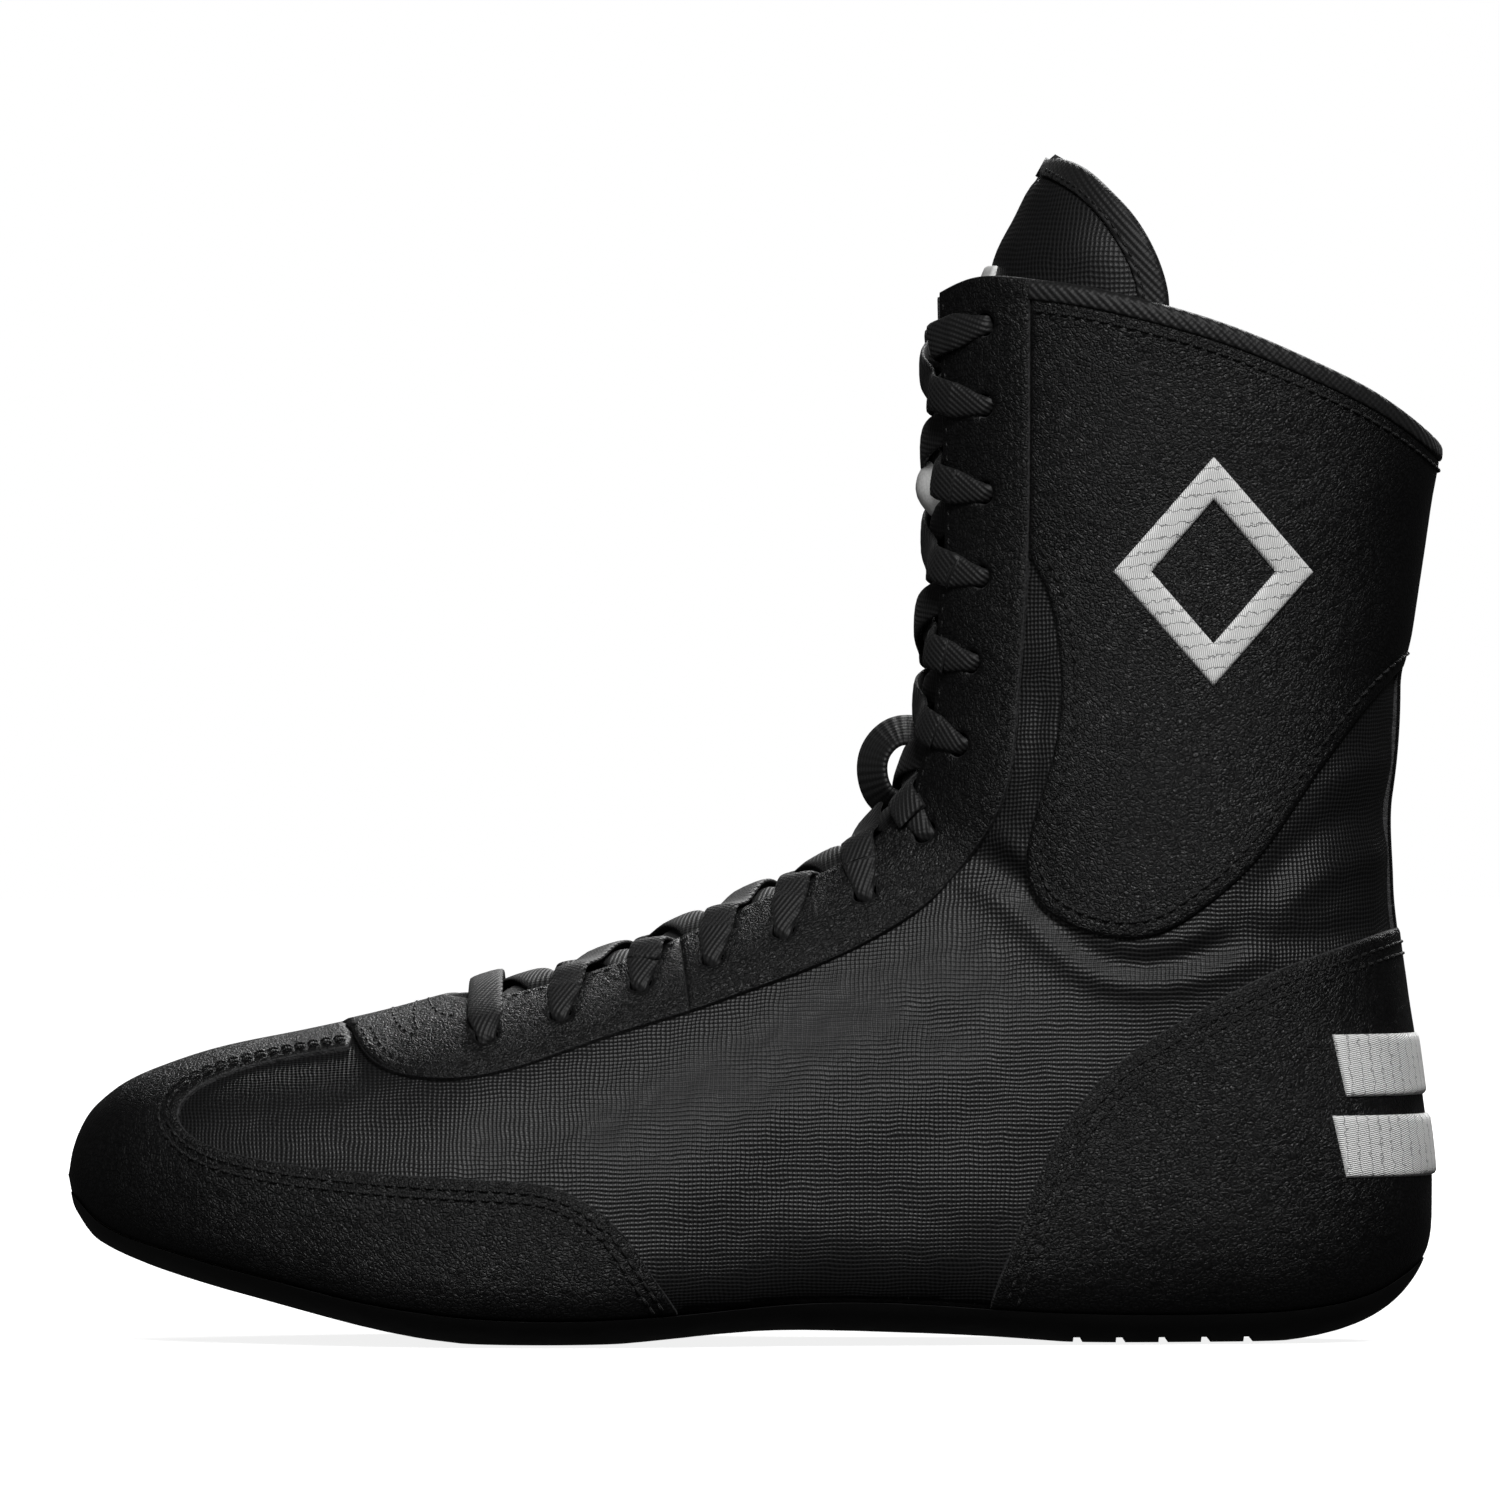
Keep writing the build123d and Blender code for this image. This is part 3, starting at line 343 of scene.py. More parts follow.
    def find(self, flat):
        """(row, column) of points of the flat drawing."""
        n = self.COLUMNS + 1
        near = np.array([self.tree.find((u, v, 0))[1] for u, v in flat])
        row, column = (near // n).astype(float), (near % n).astype(float)
        rows = self.flat.shape[0]
        for _ in range(5):
            i = np.clip(np.floor(row).astype(int), 0, rows - 2)
            j = np.clip(np.floor(column).astype(int), 0, n - 2)
            a, b = (row - i)[:, None], (column - j)[:, None]
            p00, p10 = self.flat[i, j], self.flat[i + 1, j]
            p01, p11 = self.flat[i, j + 1], self.flat[i + 1, j + 1]
            here = (p00 * (1 - a) + p10 * a) * (1 - b) + (p01 * (1 - a) + p11 * a) * b
            d_row = (p10 - p00) * (1 - b) + (p11 - p01) * b
            d_column = (p01 - p00) * (1 - a) + (p11 - p10) * a
            miss = flat - here
            det = d_row[:, 0] * d_column[:, 1] - d_row[:, 1] * d_column[:, 0]
            det = np.where(np.abs(det) < 1e-9, 1e-9, det)
            move_row = (miss[:, 0] * d_column[:, 1] - miss[:, 1] * d_column[:, 0]) / det
            move_column = (d_row[:, 0] * miss[:, 1] - d_row[:, 1] * miss[:, 0]) / det
            row = np.clip(row + np.clip(move_row, -3, 3), 0, rows - 1)
            column = np.clip(column + np.clip(move_column, -3, 3), 0, n - 1)
        column = np.where(column < 0.02, 0.0, np.where(column > n - 1.02, n - 1.0, column))
        return row, column

    def drawn(self, row, column):
        return self.mix(self.flat, row, column)

    def from_side(self, outline):
        """The stretches of a side-view line that lie on the body, as arrays of (row, column)."""
        outline = np.asarray(outline, float)
        row, column, share = self.place(outline[:, 0], outline[:, 1])
        on = (share >= 0) & (share <= 1) & (row < len(self.stations) - 1.01)
        runs, run = [], []
        for k in range(len(outline)):
            if k and on[k] != on[k - 1]:
                limit = 0.0 if min(share[k], share[k - 1]) < 0 else 1.0
                t = (limit - share[k - 1]) / (share[k] - share[k - 1] + 1e-12)
                t = min(max(t, 0.0), 1.0)
                edge = (row[k - 1] + (row[k] - row[k - 1]) * t, self.COLUMNS * limit)
                if on[k]:
                    run = [edge]
                else:
                    runs.append(np.array(run + [edge]))
                    run = []
            if on[k]:
                run.append((row[k], column[k]))
        if len(run) > 1:
            runs.append(np.array(run))
        return runs

    def from_width(self, stations, half_widths, side):
        """(row, column) of places a distance out from the throat's centre line."""
        row = self.row(stations)
        columns = np.arange(0, self.COLUMNS * 0.6)
        found = np.zeros(len(row))
        for k in range(len(row)):
            points, _ = self.at(np.full(len(columns), row[k]), columns, side, self.base)
            found[k] = np.interp(half_widths[k], np.abs(points[:, 1] - CENTRE_Y), columns)
        return np.stack([row, found], -1)


def in_polygon(points, polygon):
    x, z = points[:, 0], points[:, 1]
    inside = np.zeros(len(points), bool)
    before = np.roll(polygon, 1, 0)
    for (x0, z0), (x1, z1) in zip(before, polygon):
        if z0 == z1:
            continue
        crosses = ((z0 > z) != (z1 > z)) & (x < (x1 - x0) * (z - z0) / (z1 - z0) + x0)
        inside ^= crosses
    return inside


def distance_to(points, starts, ends):
    """The distance of each point from the nearest of many short lines."""
    best = np.full(len(points), 1e9)
    for a, b in zip(starts, ends):
        d = b - a
        t = np.clip(((points - a) @ d) / max(d @ d, 1e-12), 0, 1)
        best = np.minimum(best, ((points - a - t[:, None] * d) ** 2).sum(1))
    return np.sqrt(best)


class Patch:
    """A flat drawing of one panel's half on one side: its places, triangles and distance from its edges."""

    RING_GAP = 0.22

    def __init__(self, body, lines, keep, side, spacing=1.6, rings=(0.3, 0.8, 1.6)):
        self.body, self.side = body, side
        m, last = body.COLUMNS, len(body.stations) - 1.0
        down, across = np.append(np.arange(0, last - 1.0, 2.0), last), np.arange(0, m + 1, 2.0)
        border = [
            np.stack([down, np.zeros(len(down))], -1), np.stack([down, np.full(len(down), float(m))], -1),
            np.stack([np.zeros(len(across)), across], -1), np.stack([np.full(len(across), last), across], -1),
        ]
        places, edges = [], []
        for line in border + list(lines):
            start = len(places)
            is_closed = len(line) > 3 and np.abs(line[0] - line[-1]).max() < 1e-6
            places.extend(line[:-1] if is_closed else line)
            count = len(places) - start
            edges += [(start + k, start + (k + 1) % count) for k in range(count if is_closed else count - 1)]
        places = np.array(places, float)
        flat = body.drawn(*places.T)
        drawn_lines = [body.drawn(*line.T) for line in lines]
        starts = np.concatenate([line[:-1] for line in drawn_lines])
        ends = np.concatenate([line[1:] for line in drawn_lines])
        outline = np.concatenate([
            body.flat[:, 0], body.flat[-1, 1:-1], body.flat[::-1, m], body.flat[0, ::-1][1:-1]
        ])
        beside = [
            p[distance_to(p, starts, ends) > 0.8 * d]
            for line in drawn_lines for d in rings for p in parallels(line, [d])
        ]
        beside = np.concatenate([np.zeros((0, 2))] + beside)
        low, high = flat.min(0), flat.max(0)
        u, v = np.arange(low[0], high[0], spacing), np.arange(low[1], high[1], spacing * 0.87)
        grid = np.stack(np.meshgrid(u, v, indexing="ij"), -1)
        grid[:, ::2, 0] += spacing / 2
        grid = grid.reshape(-1, 2)
        grid = grid[in_polygon(grid, outline)]
        grid = grid[keep(body, *body.find(grid), side)]
        inner = np.concatenate([grid, beside[in_polygon(beside, outline)]])
        inner = inner[self.spread_out(flat, inner, len(grid), spacing * 0.55)]
        vectors = [Vector((float(a), float(b))) for a, b in np.concatenate([flat, inner])]
        out, _, faces, origin, _, _ = delaunay_2d_cdt(vectors, edges, [], 0, 1e-4)
        drawn = np.array([(p.x, p.y) for p in out])
        row, column = body.find(drawn)
        for k, sources in enumerate(origin):
            given = [q for q in sources if q < len(places)]
            if given:
                row[k], column[k] = places[given[0]]
        faces = np.array([f for f in faces if len(f) == 3], int)
        centre = drawn[faces].mean(1)
        inside = in_polygon(centre, outline)
        r, c = row[faces].mean(1), column[faces].mean(1)
        inside &= keep(body, r, c, side)
        a, b, c3 = drawn[faces[:, 0]], drawn[faces[:, 1]], drawn[faces[:, 2]]
        area = np.abs((b[:, 0] - a[:, 0]) * (c3[:, 1] - a[:, 1]) - (b[:, 1] - a[:, 1]) * (c3[:, 0] - a[:, 0]))
        faces = faces[inside & (area > 1e-5)]
        used = np.unique(faces)
        renumber = np.full(len(drawn), -1)
        renumber[used] = np.arange(len(used))
        self.faces = renumber[faces]
        self.row, self.column, self.drawn = row[used], column[used], drawn[used]
        sides = {(f[k], f[(k + 1) % 3]) for f in self.faces.tolist() for k in range(3)}
        self.rim = [
            (a, b) for a, b in (tuple(e) for f in self.faces.tolist() for e in zip(f, f[1:] + f[:1]))
            if (b, a) not in sides and not (
                max(self.column[a], self.column[b]) < 0.01 or min(self.column[a], self.column[b]) > m - 0.01
            )
        ]
        self.edge = np.full(len(self.drawn), 99.0)
        if self.rim:
            first, second = np.array(self.rim).T
            self.edge = distance_to(self.drawn, self.drawn[first], self.drawn[second])

    def spread_out(self, flat, inner, grid_count, grid_gap):
        """Which inner points aren't crowded by the lines, by the rings beside them or by each other."""
        tree = kdtree.KDTree(len(flat) + len(inner))
        for k, (u, v) in enumerate(flat):
            tree.insert((u, v, 0), k)
        for k, (u, v) in list(enumerate(inner))[grid_count:]:
            tree.insert((u, v, 0), len(flat) + k)
        tree.balance()
        good = []
        for k, (u, v) in enumerate(inner):
            in_grid = k < grid_count
            near = tree.find_range((u, v, 0), grid_gap if in_grid else self.RING_GAP)
            if not any(in_grid or index < len(flat) + k for _, index, _ in near):
                good.append(k)
        return good


def build(name, patches, outside, inside=None, skirt=None, flip=False):
    """A mesh from a panel's halves. outside(patch) gives offsets of the shown face; inside(patch), if
    given, of a back face; skirt, the offset that a cut edge goes down to."""
    verts, faces, edge, drawn = [], [], [], []
    for p in patches:
        start = sum(len(v) for v in verts)
        top = outside(p)
        points, normal = p.body.at(p.row, p.column, p.side, top)
        f = p.faces
        tri = points[f]
        face_normal = np.cross(tri[:, 1] - tri[:, 0], tri[:, 2] - tri[:, 0])
        wrong = (face_normal * normal[f].mean(1)).sum(1).mean() < 0
        f = f[:, ::-1] if wrong else f
        verts.append(points)
        edge.append(p.edge)
        drawn.append(p.drawn)
        faces.append((f[:, ::-1] if flip else f) + start)
        rim = [(e[1], e[0]) if wrong else e for e in p.rim]
        if inside is not None:
            back, _ = p.body.at(p.row, p.column, p.side, inside(p))
            at = start + len(points)
            verts.append(back)
            edge.append(p.edge)
            drawn.append(p.drawn)
            faces.append(f[:, ::-1] + at)
            faces.append(np.array([
                t for a, b in rim
                for t in ((start + b, start + a, at + a), (start + b, at + a, at + b))
            ]).reshape(-1, 3))
        elif skirt is not None and rim:
            ids = sorted({q for e in rim for q in e})
            place = {q: k for k, q in enumerate(ids)}
            at = start + len(points)
            levels = [top[ids] - 0.3, np.full(len(ids), skirt)]
            for level in levels:
                lower, _ = p.body.at(p.row[ids], p.column[ids], p.side, level)
                verts.append(lower)
                edge.append(np.full(len(ids), -1.0))
                drawn.append(p.drawn[ids])
            n = len(ids)
            side_faces = []
            for a, b in rim:
                a0, b0 = start + a, start + b
                a1, b1 = at + place[a], at + place[b]
                a2, b2 = a1 + n, b1 + n
                side_faces += [(b0, a0, a1), (b0, a1, b1), (b1, a1, a2), (b1, a2, b2)]
            faces.append(np.array(side_faces))
    return mesh_object(name, *(np.concatenate(part) for part in (verts, faces, drawn, edge)))


def linked(thing):
    bpy.context.scene.collection.objects.link(thing)
    return thing


def mesh_object(name, verts, faces, drawn, edge=None, weld=True):
    """A smooth-shaded object from millimetre points, with its flat drawing as UV in metres."""
    mesh = bpy.data.meshes.new(name)
    mesh.from_pydata((verts * MM).tolist(), [], faces.tolist() if isinstance(faces, np.ndarray) else faces)
    if edge is not None:
        attribute = mesh.attributes.new("edge", "FLOAT", "POINT")
        attribute.data.foreach_set("value", np.asarray(edge, np.float32))
    layer = mesh.uv_layers.new(name="flat")
    loops = np.zeros(len(mesh.loops), np.int32)
    mesh.loops.foreach_get("vertex_index", loops)
    layer.data.foreach_set("uv", (np.asarray(drawn, np.float32)[loops] * MM).ravel())
    if weld:
        work = bmesh.new()
        work.from_mesh(mesh)
        bmesh.ops.remove_doubles(work, verts=work.verts, dist=2e-6)
        work.to_mesh(mesh)
        work.free()
    mesh.polygons.foreach_set("use_smooth", np.ones(len(mesh.polygons), bool))
    return linked(bpy.data.objects.new(name, mesh))


body = Body()
tongue_body = Body(base=-3.6, lean=True, longer=17.0)


# ---- regions ------------------------------------------------------------------------------------
def closed(outline, *corners):
    return np.concatenate([spline(outline, 2.0), np.array(corners, float)])


SOLE_LINE = spline(SOLE_EDGE)
EYESTAY_LINE = spline(EYESTAY_EDGE)
COLLAR_LINE = spline(COLLAR)
UNDER_COLLAR = COLLAR_LINE - (0, 4.0)
ANKLE_LINE = spline(ANKLE_PANEL)
COUNTER_LINE = spline(HEEL_COUNTER)
TOE_LINE = spline(TOE_WINDOW)
TONGUE_LINE = spline(TONGUE_BACK)
ABOVE_SOLE = closed(SOLE_EDGE, (-175, 290), (175, 290))
STAY_BAND = closed(EYESTAY_EDGE, (175, 240), (175, 110), (100, 80))
TOE_AREA = closed(TOE_WINDOW, (13, -20), (175, -20), (175, 100), (84, 100))
COUNTER_AREA = closed(HEEL_COUNTER, (-48, -20), (-160, -20))
ANKLE_AREA = closed(ANKLE_PANEL, (-175, 160), (-175, 290), (-57, 290))
TONGUE_AREA = closed(TONGUE_BACK, (-20, 262), (80, 150))
BEFORE_SEAM = np.array(FACING_SEAM + [(175, 50), (175, 290), (17, 290)], float)


def below_collar(drop=0.0):
    """The area under a line that runs this far below the collar's edge."""
    return closed(np.array(COLLAR) - (0, drop), (-175, -30), (175, -30), (175, 216))


def side_view(body, row, column, side, base=None):
    """(x, z) of places on the body."""
    return body.at(row, column, side, body.base if base is None else base)[0][:, [0, 2]]


def within(polygon, wanted=True):
    """A test for places inside (or outside) a side-view area."""

    def test(body, row, column, side):
        return in_polygon(side_view(body, row, column, side), polygon) == wanted

    return test


def outside_throat(body, row, column, side):
    points, _ = body.at(row, column, side, body.base)
    station = body.station(row)
    near = column < body.COLUMNS * 0.55
    return (station < 80.5) | ~near | (np.abs(points[:, 1] - CENTRE_Y) > smooth(THROAT_HALF_WIDTH, station))


def eyelet_centres():
    """The eyelets in the flat drawing."""
    row, column, _ = body.place(*np.array(EYELETS).T)
    return body.drawn(row, column)


def clear_of_eyelets(body, row, column, side):
    drawn = body.drawn(row, column)
    holes = eyelet_centres()
    apart = np.linalg.norm(drawn[:, None] - holes[None], axis=2).min(1)
    return apart > EYELET_RADIUS


def every(*tests):
    return lambda *place: np.logical_and.reduce([test(*place) for test in tests])


def throat_line(side):
    stations = np.concatenate([[80.5, 81.2, 82, 83, 84, 85.5, 87, 89], np.arange(91, 343, 1.2)])
    return body.from_width(stations, smooth(THROAT_HALF_WIDTH, stations), side)


def eyelet_lines(first=0, last=13):
    turn = np.linspace(0, 2 * math.pi, 25)
    circle = EYELET_RADIUS * np.stack([np.cos(turn), np.sin(turn)], -1)
    lines = []
    for middle in eyelet_centres()[first:last]:
        ring = np.stack(body.find(middle + circle), -1)
        ring[-1] = ring[0]
        lines.append(ring)
    return lines


def side_lines(*outlines):
    return [run for outline in outlines for run in body.from_side(outline)]


def rolled(top, roll=0.45, width=1.1, waves=0.0):
    """Offsets of a leather face that rolls down to its cut edge and is gently uneven."""

    def offsets(p):
        edge = np.clip(p.edge / width, 0, 1)
        u, v = p.drawn[:, 0], p.drawn[:, 1]
        uneven = np.sin(u * 0.11 + 1.3 * np.sin(v * 0.07)) * np.sin(v * 0.13 + 0.6) * waves
        return top - roll * (1 - edge) ** 2 + uneven * np.clip(p.edge / 8, 0, 1)

    return offsets


# ---- materials ----------------------------------------------------------------------------------
class Finish:
    """A small helper for node materials."""

    def __init__(self, name, **sockets):
        self.material = bpy.data.materials.new(name)
        self.material.use_nodes = True
        self.tree = self.material.node_tree
        self.shader = self.tree.nodes["Principled BSDF"]
        for key, value in sockets.items():
            self.shader.inputs[key.replace("_", " ")].default_value = value

    def add(self, kind, **settings):
        node = self.tree.nodes.new("ShaderNode" + kind)
        for key, value in settings.items():
            if key.startswith("in_"):
                node.inputs[key[3:].replace("_", " ")].default_value = value
            else:
                setattr(node, key, value)
        return node

    def link(self, source, target):
        self.tree.links.new(source, target)

    def maths(self, operation, a, b=None, c=None):
        node = self.add("Math", operation=operation)
        for socket, value in zip(node.inputs, (a, b, c)):
            if value is None:
                continue
            if isinstance(value, (int, float)):
                socket.default_value = value
            else:
                self.link(value, socket)
        return node.outputs[0]

    def ramp(self, source, stops):
        node = self.add("ValToRGB")
        elements = node.color_ramp.elements
        while len(elements) < len(stops):
            elements.new(0.5)
        for element, (position, value) in zip(elements, stops):
            element.position = position
            element.color = (*value, 1)
        self.link(source, node.inputs[0])
        return node.outputs[0]

    def spread(self, source, low, high, to_low, to_high):
        node = self.add("MapRange")
        for name, value in (("From Min", low), ("From Max", high), ("To Min", to_low), ("To Max", to_high)):
            node.inputs[name].default_value = value
        self.link(source, node.inputs[0])
        return node.outputs[0]

    def bump(self, height, strength, distance):
        node = self.add("Bump", in_Strength=strength, in_Distance=distance)
        self.link(height, node.inputs["Height"])
        self.link(node.outputs[0], self.shader.inputs["Normal"])

    def wave(self, along, pitch):
        """A ripple between 0 and 1."""
        sine = self.maths("SINE", self.maths("MULTIPLY", along, 2 * math.pi / pitch))
        return self.spread(sine, -1.0, 1.0, 0.0, 1.0)

    def grain(self, kind, where, **settings):
        """A noise or Voronoi texture at these coordinates."""
        node = self.add(kind, **settings)
        self.link(where, node.inputs["Vector"])
        return node.outputs[0]

    def mixed(self, factor, a, b):
        node = self.add("Mix", data_type="RGBA")
        self.link(factor, node.inputs[0])
        for socket, value in ((node.inputs[6], a), (node.inputs[7], b)):
            if hasattr(value, "__len__"):
                socket.default_value = (*value, 1)
            else:
                self.link(value, socket)
        return node.outputs[2]

    def place(self):
        """Object coordinates in millimetres."""
        coords = self.add("TexCoord")
        node = self.add("VectorMath", operation="SCALE")
        node.inputs["Scale"].default_value = 1 / MM
        self.link(coords.outputs["Object"], node.inputs[0])
        return node.outputs[0]

    def drawing(self, turn=0.0):
        """(u, v) of the flat drawing in millimetres, turned."""
        coords = self.add("UVMap", uv_map="flat")
        node = self.add("Mapping")
        node.inputs["Rotation"].default_value[2] = math.radians(turn)
        node.inputs["Scale"].default_value = (1 / MM, 1 / MM, 1)
        self.link(coords.outputs[0], node.inputs[0])
        split = self.add("SeparateXYZ")
        self.link(node.outputs[0], split.inputs[0])
        return split.outputs[0], split.outputs[1], node.outputs[0]


def grey(level, blue=0.0):
    """A colour of one level, with a little more blue."""
    return level, level, level + blue


def leather_finish():
    """Pebbled leather: large and fine cells, creases, painted shade in the valleys between the pebbles, and a
    worn paler line along its cut edges.
    """
    f = Finish("leather_black", Roughness=0.5, Specular_IOR_Level=0.24)
    near = f.place()
    bend = f.add("TexNoise", in_Scale=0.35, in_Detail=2.0)
    f.link(near, bend.inputs["Vector"])
    shifted = f.add("VectorMath", operation="MULTIPLY_ADD")
    f.link(bend.outputs["Color"], shifted.inputs[0])
    shifted.inputs[1].default_value = (1.6, 1.6, 1.6)
    f.link(near, shifted.inputs[2])
    pebble = f.grain("TexVoronoi", shifted.outputs[0], feature="DISTANCE_TO_EDGE", in_Scale=0.95)
    pebble = f.spread(pebble, 0.0, 0.22, 0.0, 1.0)
    fine = f.grain("TexVoronoi", shifted.outputs[0], feature="DISTANCE_TO_EDGE", in_Scale=2.3)
    creases = f.grain("TexNoise", near, in_Scale=0.16, in_Detail=4.0, in_Roughness=0.6)
    f.bump(f.maths("ADD", f.maths("ADD", pebble, f.spread(fine, 0.0, 0.2, 0.0, 0.45)), creases), 0.6, 0.0002)
    raw = f.spread(f.add("Attribute", attribute_name="edge").outputs["Fac"], 0.0, 0.22, 1.0, 0.0)
    worn = f.grain("TexNoise", near, in_Scale=0.9, in_Detail=3.0)
    raw = f.maths("MULTIPLY", raw, f.spread(worn, 0.3, 0.65, 0.35, 1.0))
    # painted light and shade: the colour is lighter on the pebbles' raised middles and darker in the valleys
    # between them
    shade = f.ramp(pebble, [(0.0, grey(0.0012, 0.0001)), (1.0, grey(0.0042, 0.0002))])
    f.link(f.mixed(raw, shade, grey(0.045, 0.001)), f.shader.inputs["Base Color"])
    rough = f.spread(f.grain("TexNoise", near, in_Scale=0.05, in_Detail=3.0), 0.3, 0.7, 0.36, 0.46)
    f.link(f.maths("MULTIPLY_ADD", raw, 0.35, rough), f.shader.inputs["Roughness"])
    return f.material


def weave_finish(name, pitch, low, high, roughness, turn=0.0):
    """Square open weave: threads both ways, with painted shade that darkens the holes between them and a
    painted highlight where the threads cross.
    """
    f = Finish(name, Roughness=roughness, Specular_IOR_Level=0.31)
    u, v, flat = f.drawing(turn)
    drift = f.grain("TexNoise", flat, in_Scale=0.12, in_Detail=2.0)
    sway = f.spread(drift, 0.3, 0.7, -0.35, 0.35)
    thread_u, thread_v = (f.wave(f.maths("ADD", way, sway), pitch) for way in (u, v))
    knot = f.maths("MULTIPLY", thread_u, thread_v)
    ridge = f.maths("MAXIMUM", thread_u, thread_v)
    gap_u, gap_v = (f.maths("SUBTRACT", 1.0, thread) for thread in (thread_u, thread_v))
    cover = f.maths("SUBTRACT", 1.0, f.maths("MULTIPLY", gap_u, gap_v))
    # painted light and shade: lightest where the threads cross and darkest in the holes, following the
    # weave's height
    shown = f.maths("MULTIPLY", cover, f.maths("MULTIPLY_ADD", knot, 0.6, 0.4))
    painted_weave_shade = f.ramp(shown, [(0.05, low), (0.75, high)])
    tone = f.spread(f.grain("TexNoise", flat, in_Scale=0.045, in_Detail=3.0), 0.3, 0.7, 0.0, 0.35)
    f.link(f.mixed(tone, painted_weave_shade, tuple(c * 0.45 for c in low)), f.shader.inputs["Base Color"])
    f.bump(f.maths("ADD", f.maths("MULTIPLY", ridge, 0.7), f.maths("MULTIPLY", knot, 0.5)), 0.75, 0.00018)
    return f.material


def webbing_finish(name, pitch=1.3, level=0.006, turn=45.0):
    """Fine diagonal rib, as on a woven tape, with painted shade that darkens the grooves between the ribs."""
    f = Finish(name, Roughness=0.58, Sheen_Weight=0.04, Sheen_Roughness=0.5, Specular_IOR_Level=0.35)
    u, v, flat = f.drawing(turn)
    rib, cross = f.wave(u, pitch), f.wave(v, pitch * 0.8)
    fuzz = f.grain("TexNoise", flat, in_Scale=3.0, in_Detail=3.0)
    height = f.maths("ADD", f.maths("MULTIPLY_ADD", cross, 0.35, rib), f.maths("MULTIPLY", fuzz, 0.5))
    shade = grey(level, level * 0.05)
    low = tuple(c * 0.35 for c in shade)
    # painted shade: the colour is darker where the rib and its fuzz are low, in the grooves
    colour = f.ramp(f.maths("MULTIPLY", height, 0.6), [(0.1, low), (0.8, shade)])
    f.link(colour, f.shader.inputs["Base Color"])
    f.bump(height, 0.7, 0.0002)
    return f.material


def plain_finish(name, colour, roughness, grain, depth, sheen=0.0):
    """A fine-grained material: rubber, board, foam, film."""
    f = Finish(name, Roughness=roughness, Sheen_Weight=sheen)
    near = f.place()
    noise = f.grain("TexNoise", near, in_Scale=grain, in_Detail=5.0, in_Roughness=0.6)
    dark = tuple(c * 0.7 for c in colour)
    f.link(f.ramp(noise, [(0.3, dark), (0.7, colour)]), f.shader.inputs["Base Color"])
    wide = f.grain("TexNoise", near, in_Scale=grain * 0.07, in_Detail=2.0)
    f.link(f.spread(wide, 0.3, 0.7, roughness - 0.06, roughness + 0.06), f.shader.inputs["Roughness"])
    f.bump(noise, 0.5, depth)
    return f.material


def satin_finish(name, turn):
    """Rows of satin stitch in white thread, with painted shade between the threads and in the gaps between
    rows, and a painted highlight on each thread's crest.
    """
    f = Finish(name, Roughness=0.45, Sheen_Weight=0.3, Sheen_Roughness=0.4)
    u, v, flat = f.drawing(turn)
    jitter = f.grain("TexNoise", flat, in_Scale=0.9, in_Detail=1.0)
    rows = f.maths("SINE", f.maths("MULTIPLY", f.maths("MULTIPLY_ADD", jitter, 2.2, v), 2 * math.pi / 2.6))
    gap = f.spread(rows, 0.9, 1.0, 0.0, 1.0)
    height = f.maths("SUBTRACT", f.wave(u, 0.42), f.maths("MULTIPLY", gap, 1.2))
    # painted light and shade: grey between the threads and in the gaps between rows, brightest on the
    # threads' crests
    shade = f.ramp(height, [(0.0, grey(0.4)), (0.35, grey(0.78, -0.01)), (1.0, grey(0.92, -0.01))])
    f.link(shade, f.shader.inputs["Base Color"])
    f.bump(height, 0.8, 0.00018)
    return f.material


LEATHER = leather_finish()
MESH = weave_finish("mesh_weave", 0.92, grey(0.0008, 0.0001), grey(0.013, 0.0005), 0.42)
TONGUE_MESH = weave_finish("tongue_weave", 1.05, grey(0.0015, 0.0001), grey(0.011, 0.0005), 0.5)
LINING = weave_finish("lining_knit", 1.4, grey(0.012, 0.0005), grey(0.03, 0.001), 0.75, turn=45)
WEBBING = webbing_finish("webbing")
LACE = webbing_finish("lace_weave", pitch=1.05, turn=62)
THREAD = webbing_finish("thread", pitch=0.5, level=0.004, turn=30)
LOOP_RIB = webbing_finish("loop_rib", pitch=1.5, level=0.005, turn=0)
RUBBER = plain_finish("sole_rubber", grey(0.004, 0.0001), 0.62, 2.2, 0.00012)
BOARD = plain_finish("fibre_board", (0.3, 0.26, 0.2), 0.85, 1.2, 0.0002)
FOAM = plain_finish("sock_foam", grey(0.03, 0.002), 0.85, 1.6, 0.0002, sheen=0.2)
BACKING = plain_finish("non_woven", grey(0.05), 0.9, 2.0, 0.00015)
STIFFENER = plain_finish("fibre_sheet", (0.11, 0.1, 0.085), 0.8, 1.5, 0.00015)
LABEL = plain_finish("label_rubber", grey(0.8, -0.01), 0.45, 1.8, 0.00006)
FILM = plain_finish("aglet_film", grey(0.02), 0.25, 2.5, 0.00004)
SATIN = satin_finish("satin_stitch", 8)


def bend(thing, slot, material, *nodes):
    """The piece takes its material and a baked transform, and stands for its CAD nodes, which are hidden."""
    thing.data.materials.clear()
    thing.data.materials.append(material)
    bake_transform(thing)
    if nodes:
        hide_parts(*nodes)
    return thing


# ---- stitches and strips ------------------------------------------------------------------------
def inset_line(body, line, distance, side, keep):
    """A line parallel to an edge, on the side where keep holds."""
    choices = []
    for flat in parallels(body.drawn(*line.T), [distance]):
        row, column = body.find(flat)
        choices.append((row, column, keep(body, row, column, side)))
    return max(choices, key=lambda choice: choice[2].sum())


def length_along(points):
    return np.concatenate([[0], np.cumsum(np.linalg.norm(np.diff(points, axis=0), axis=1))])


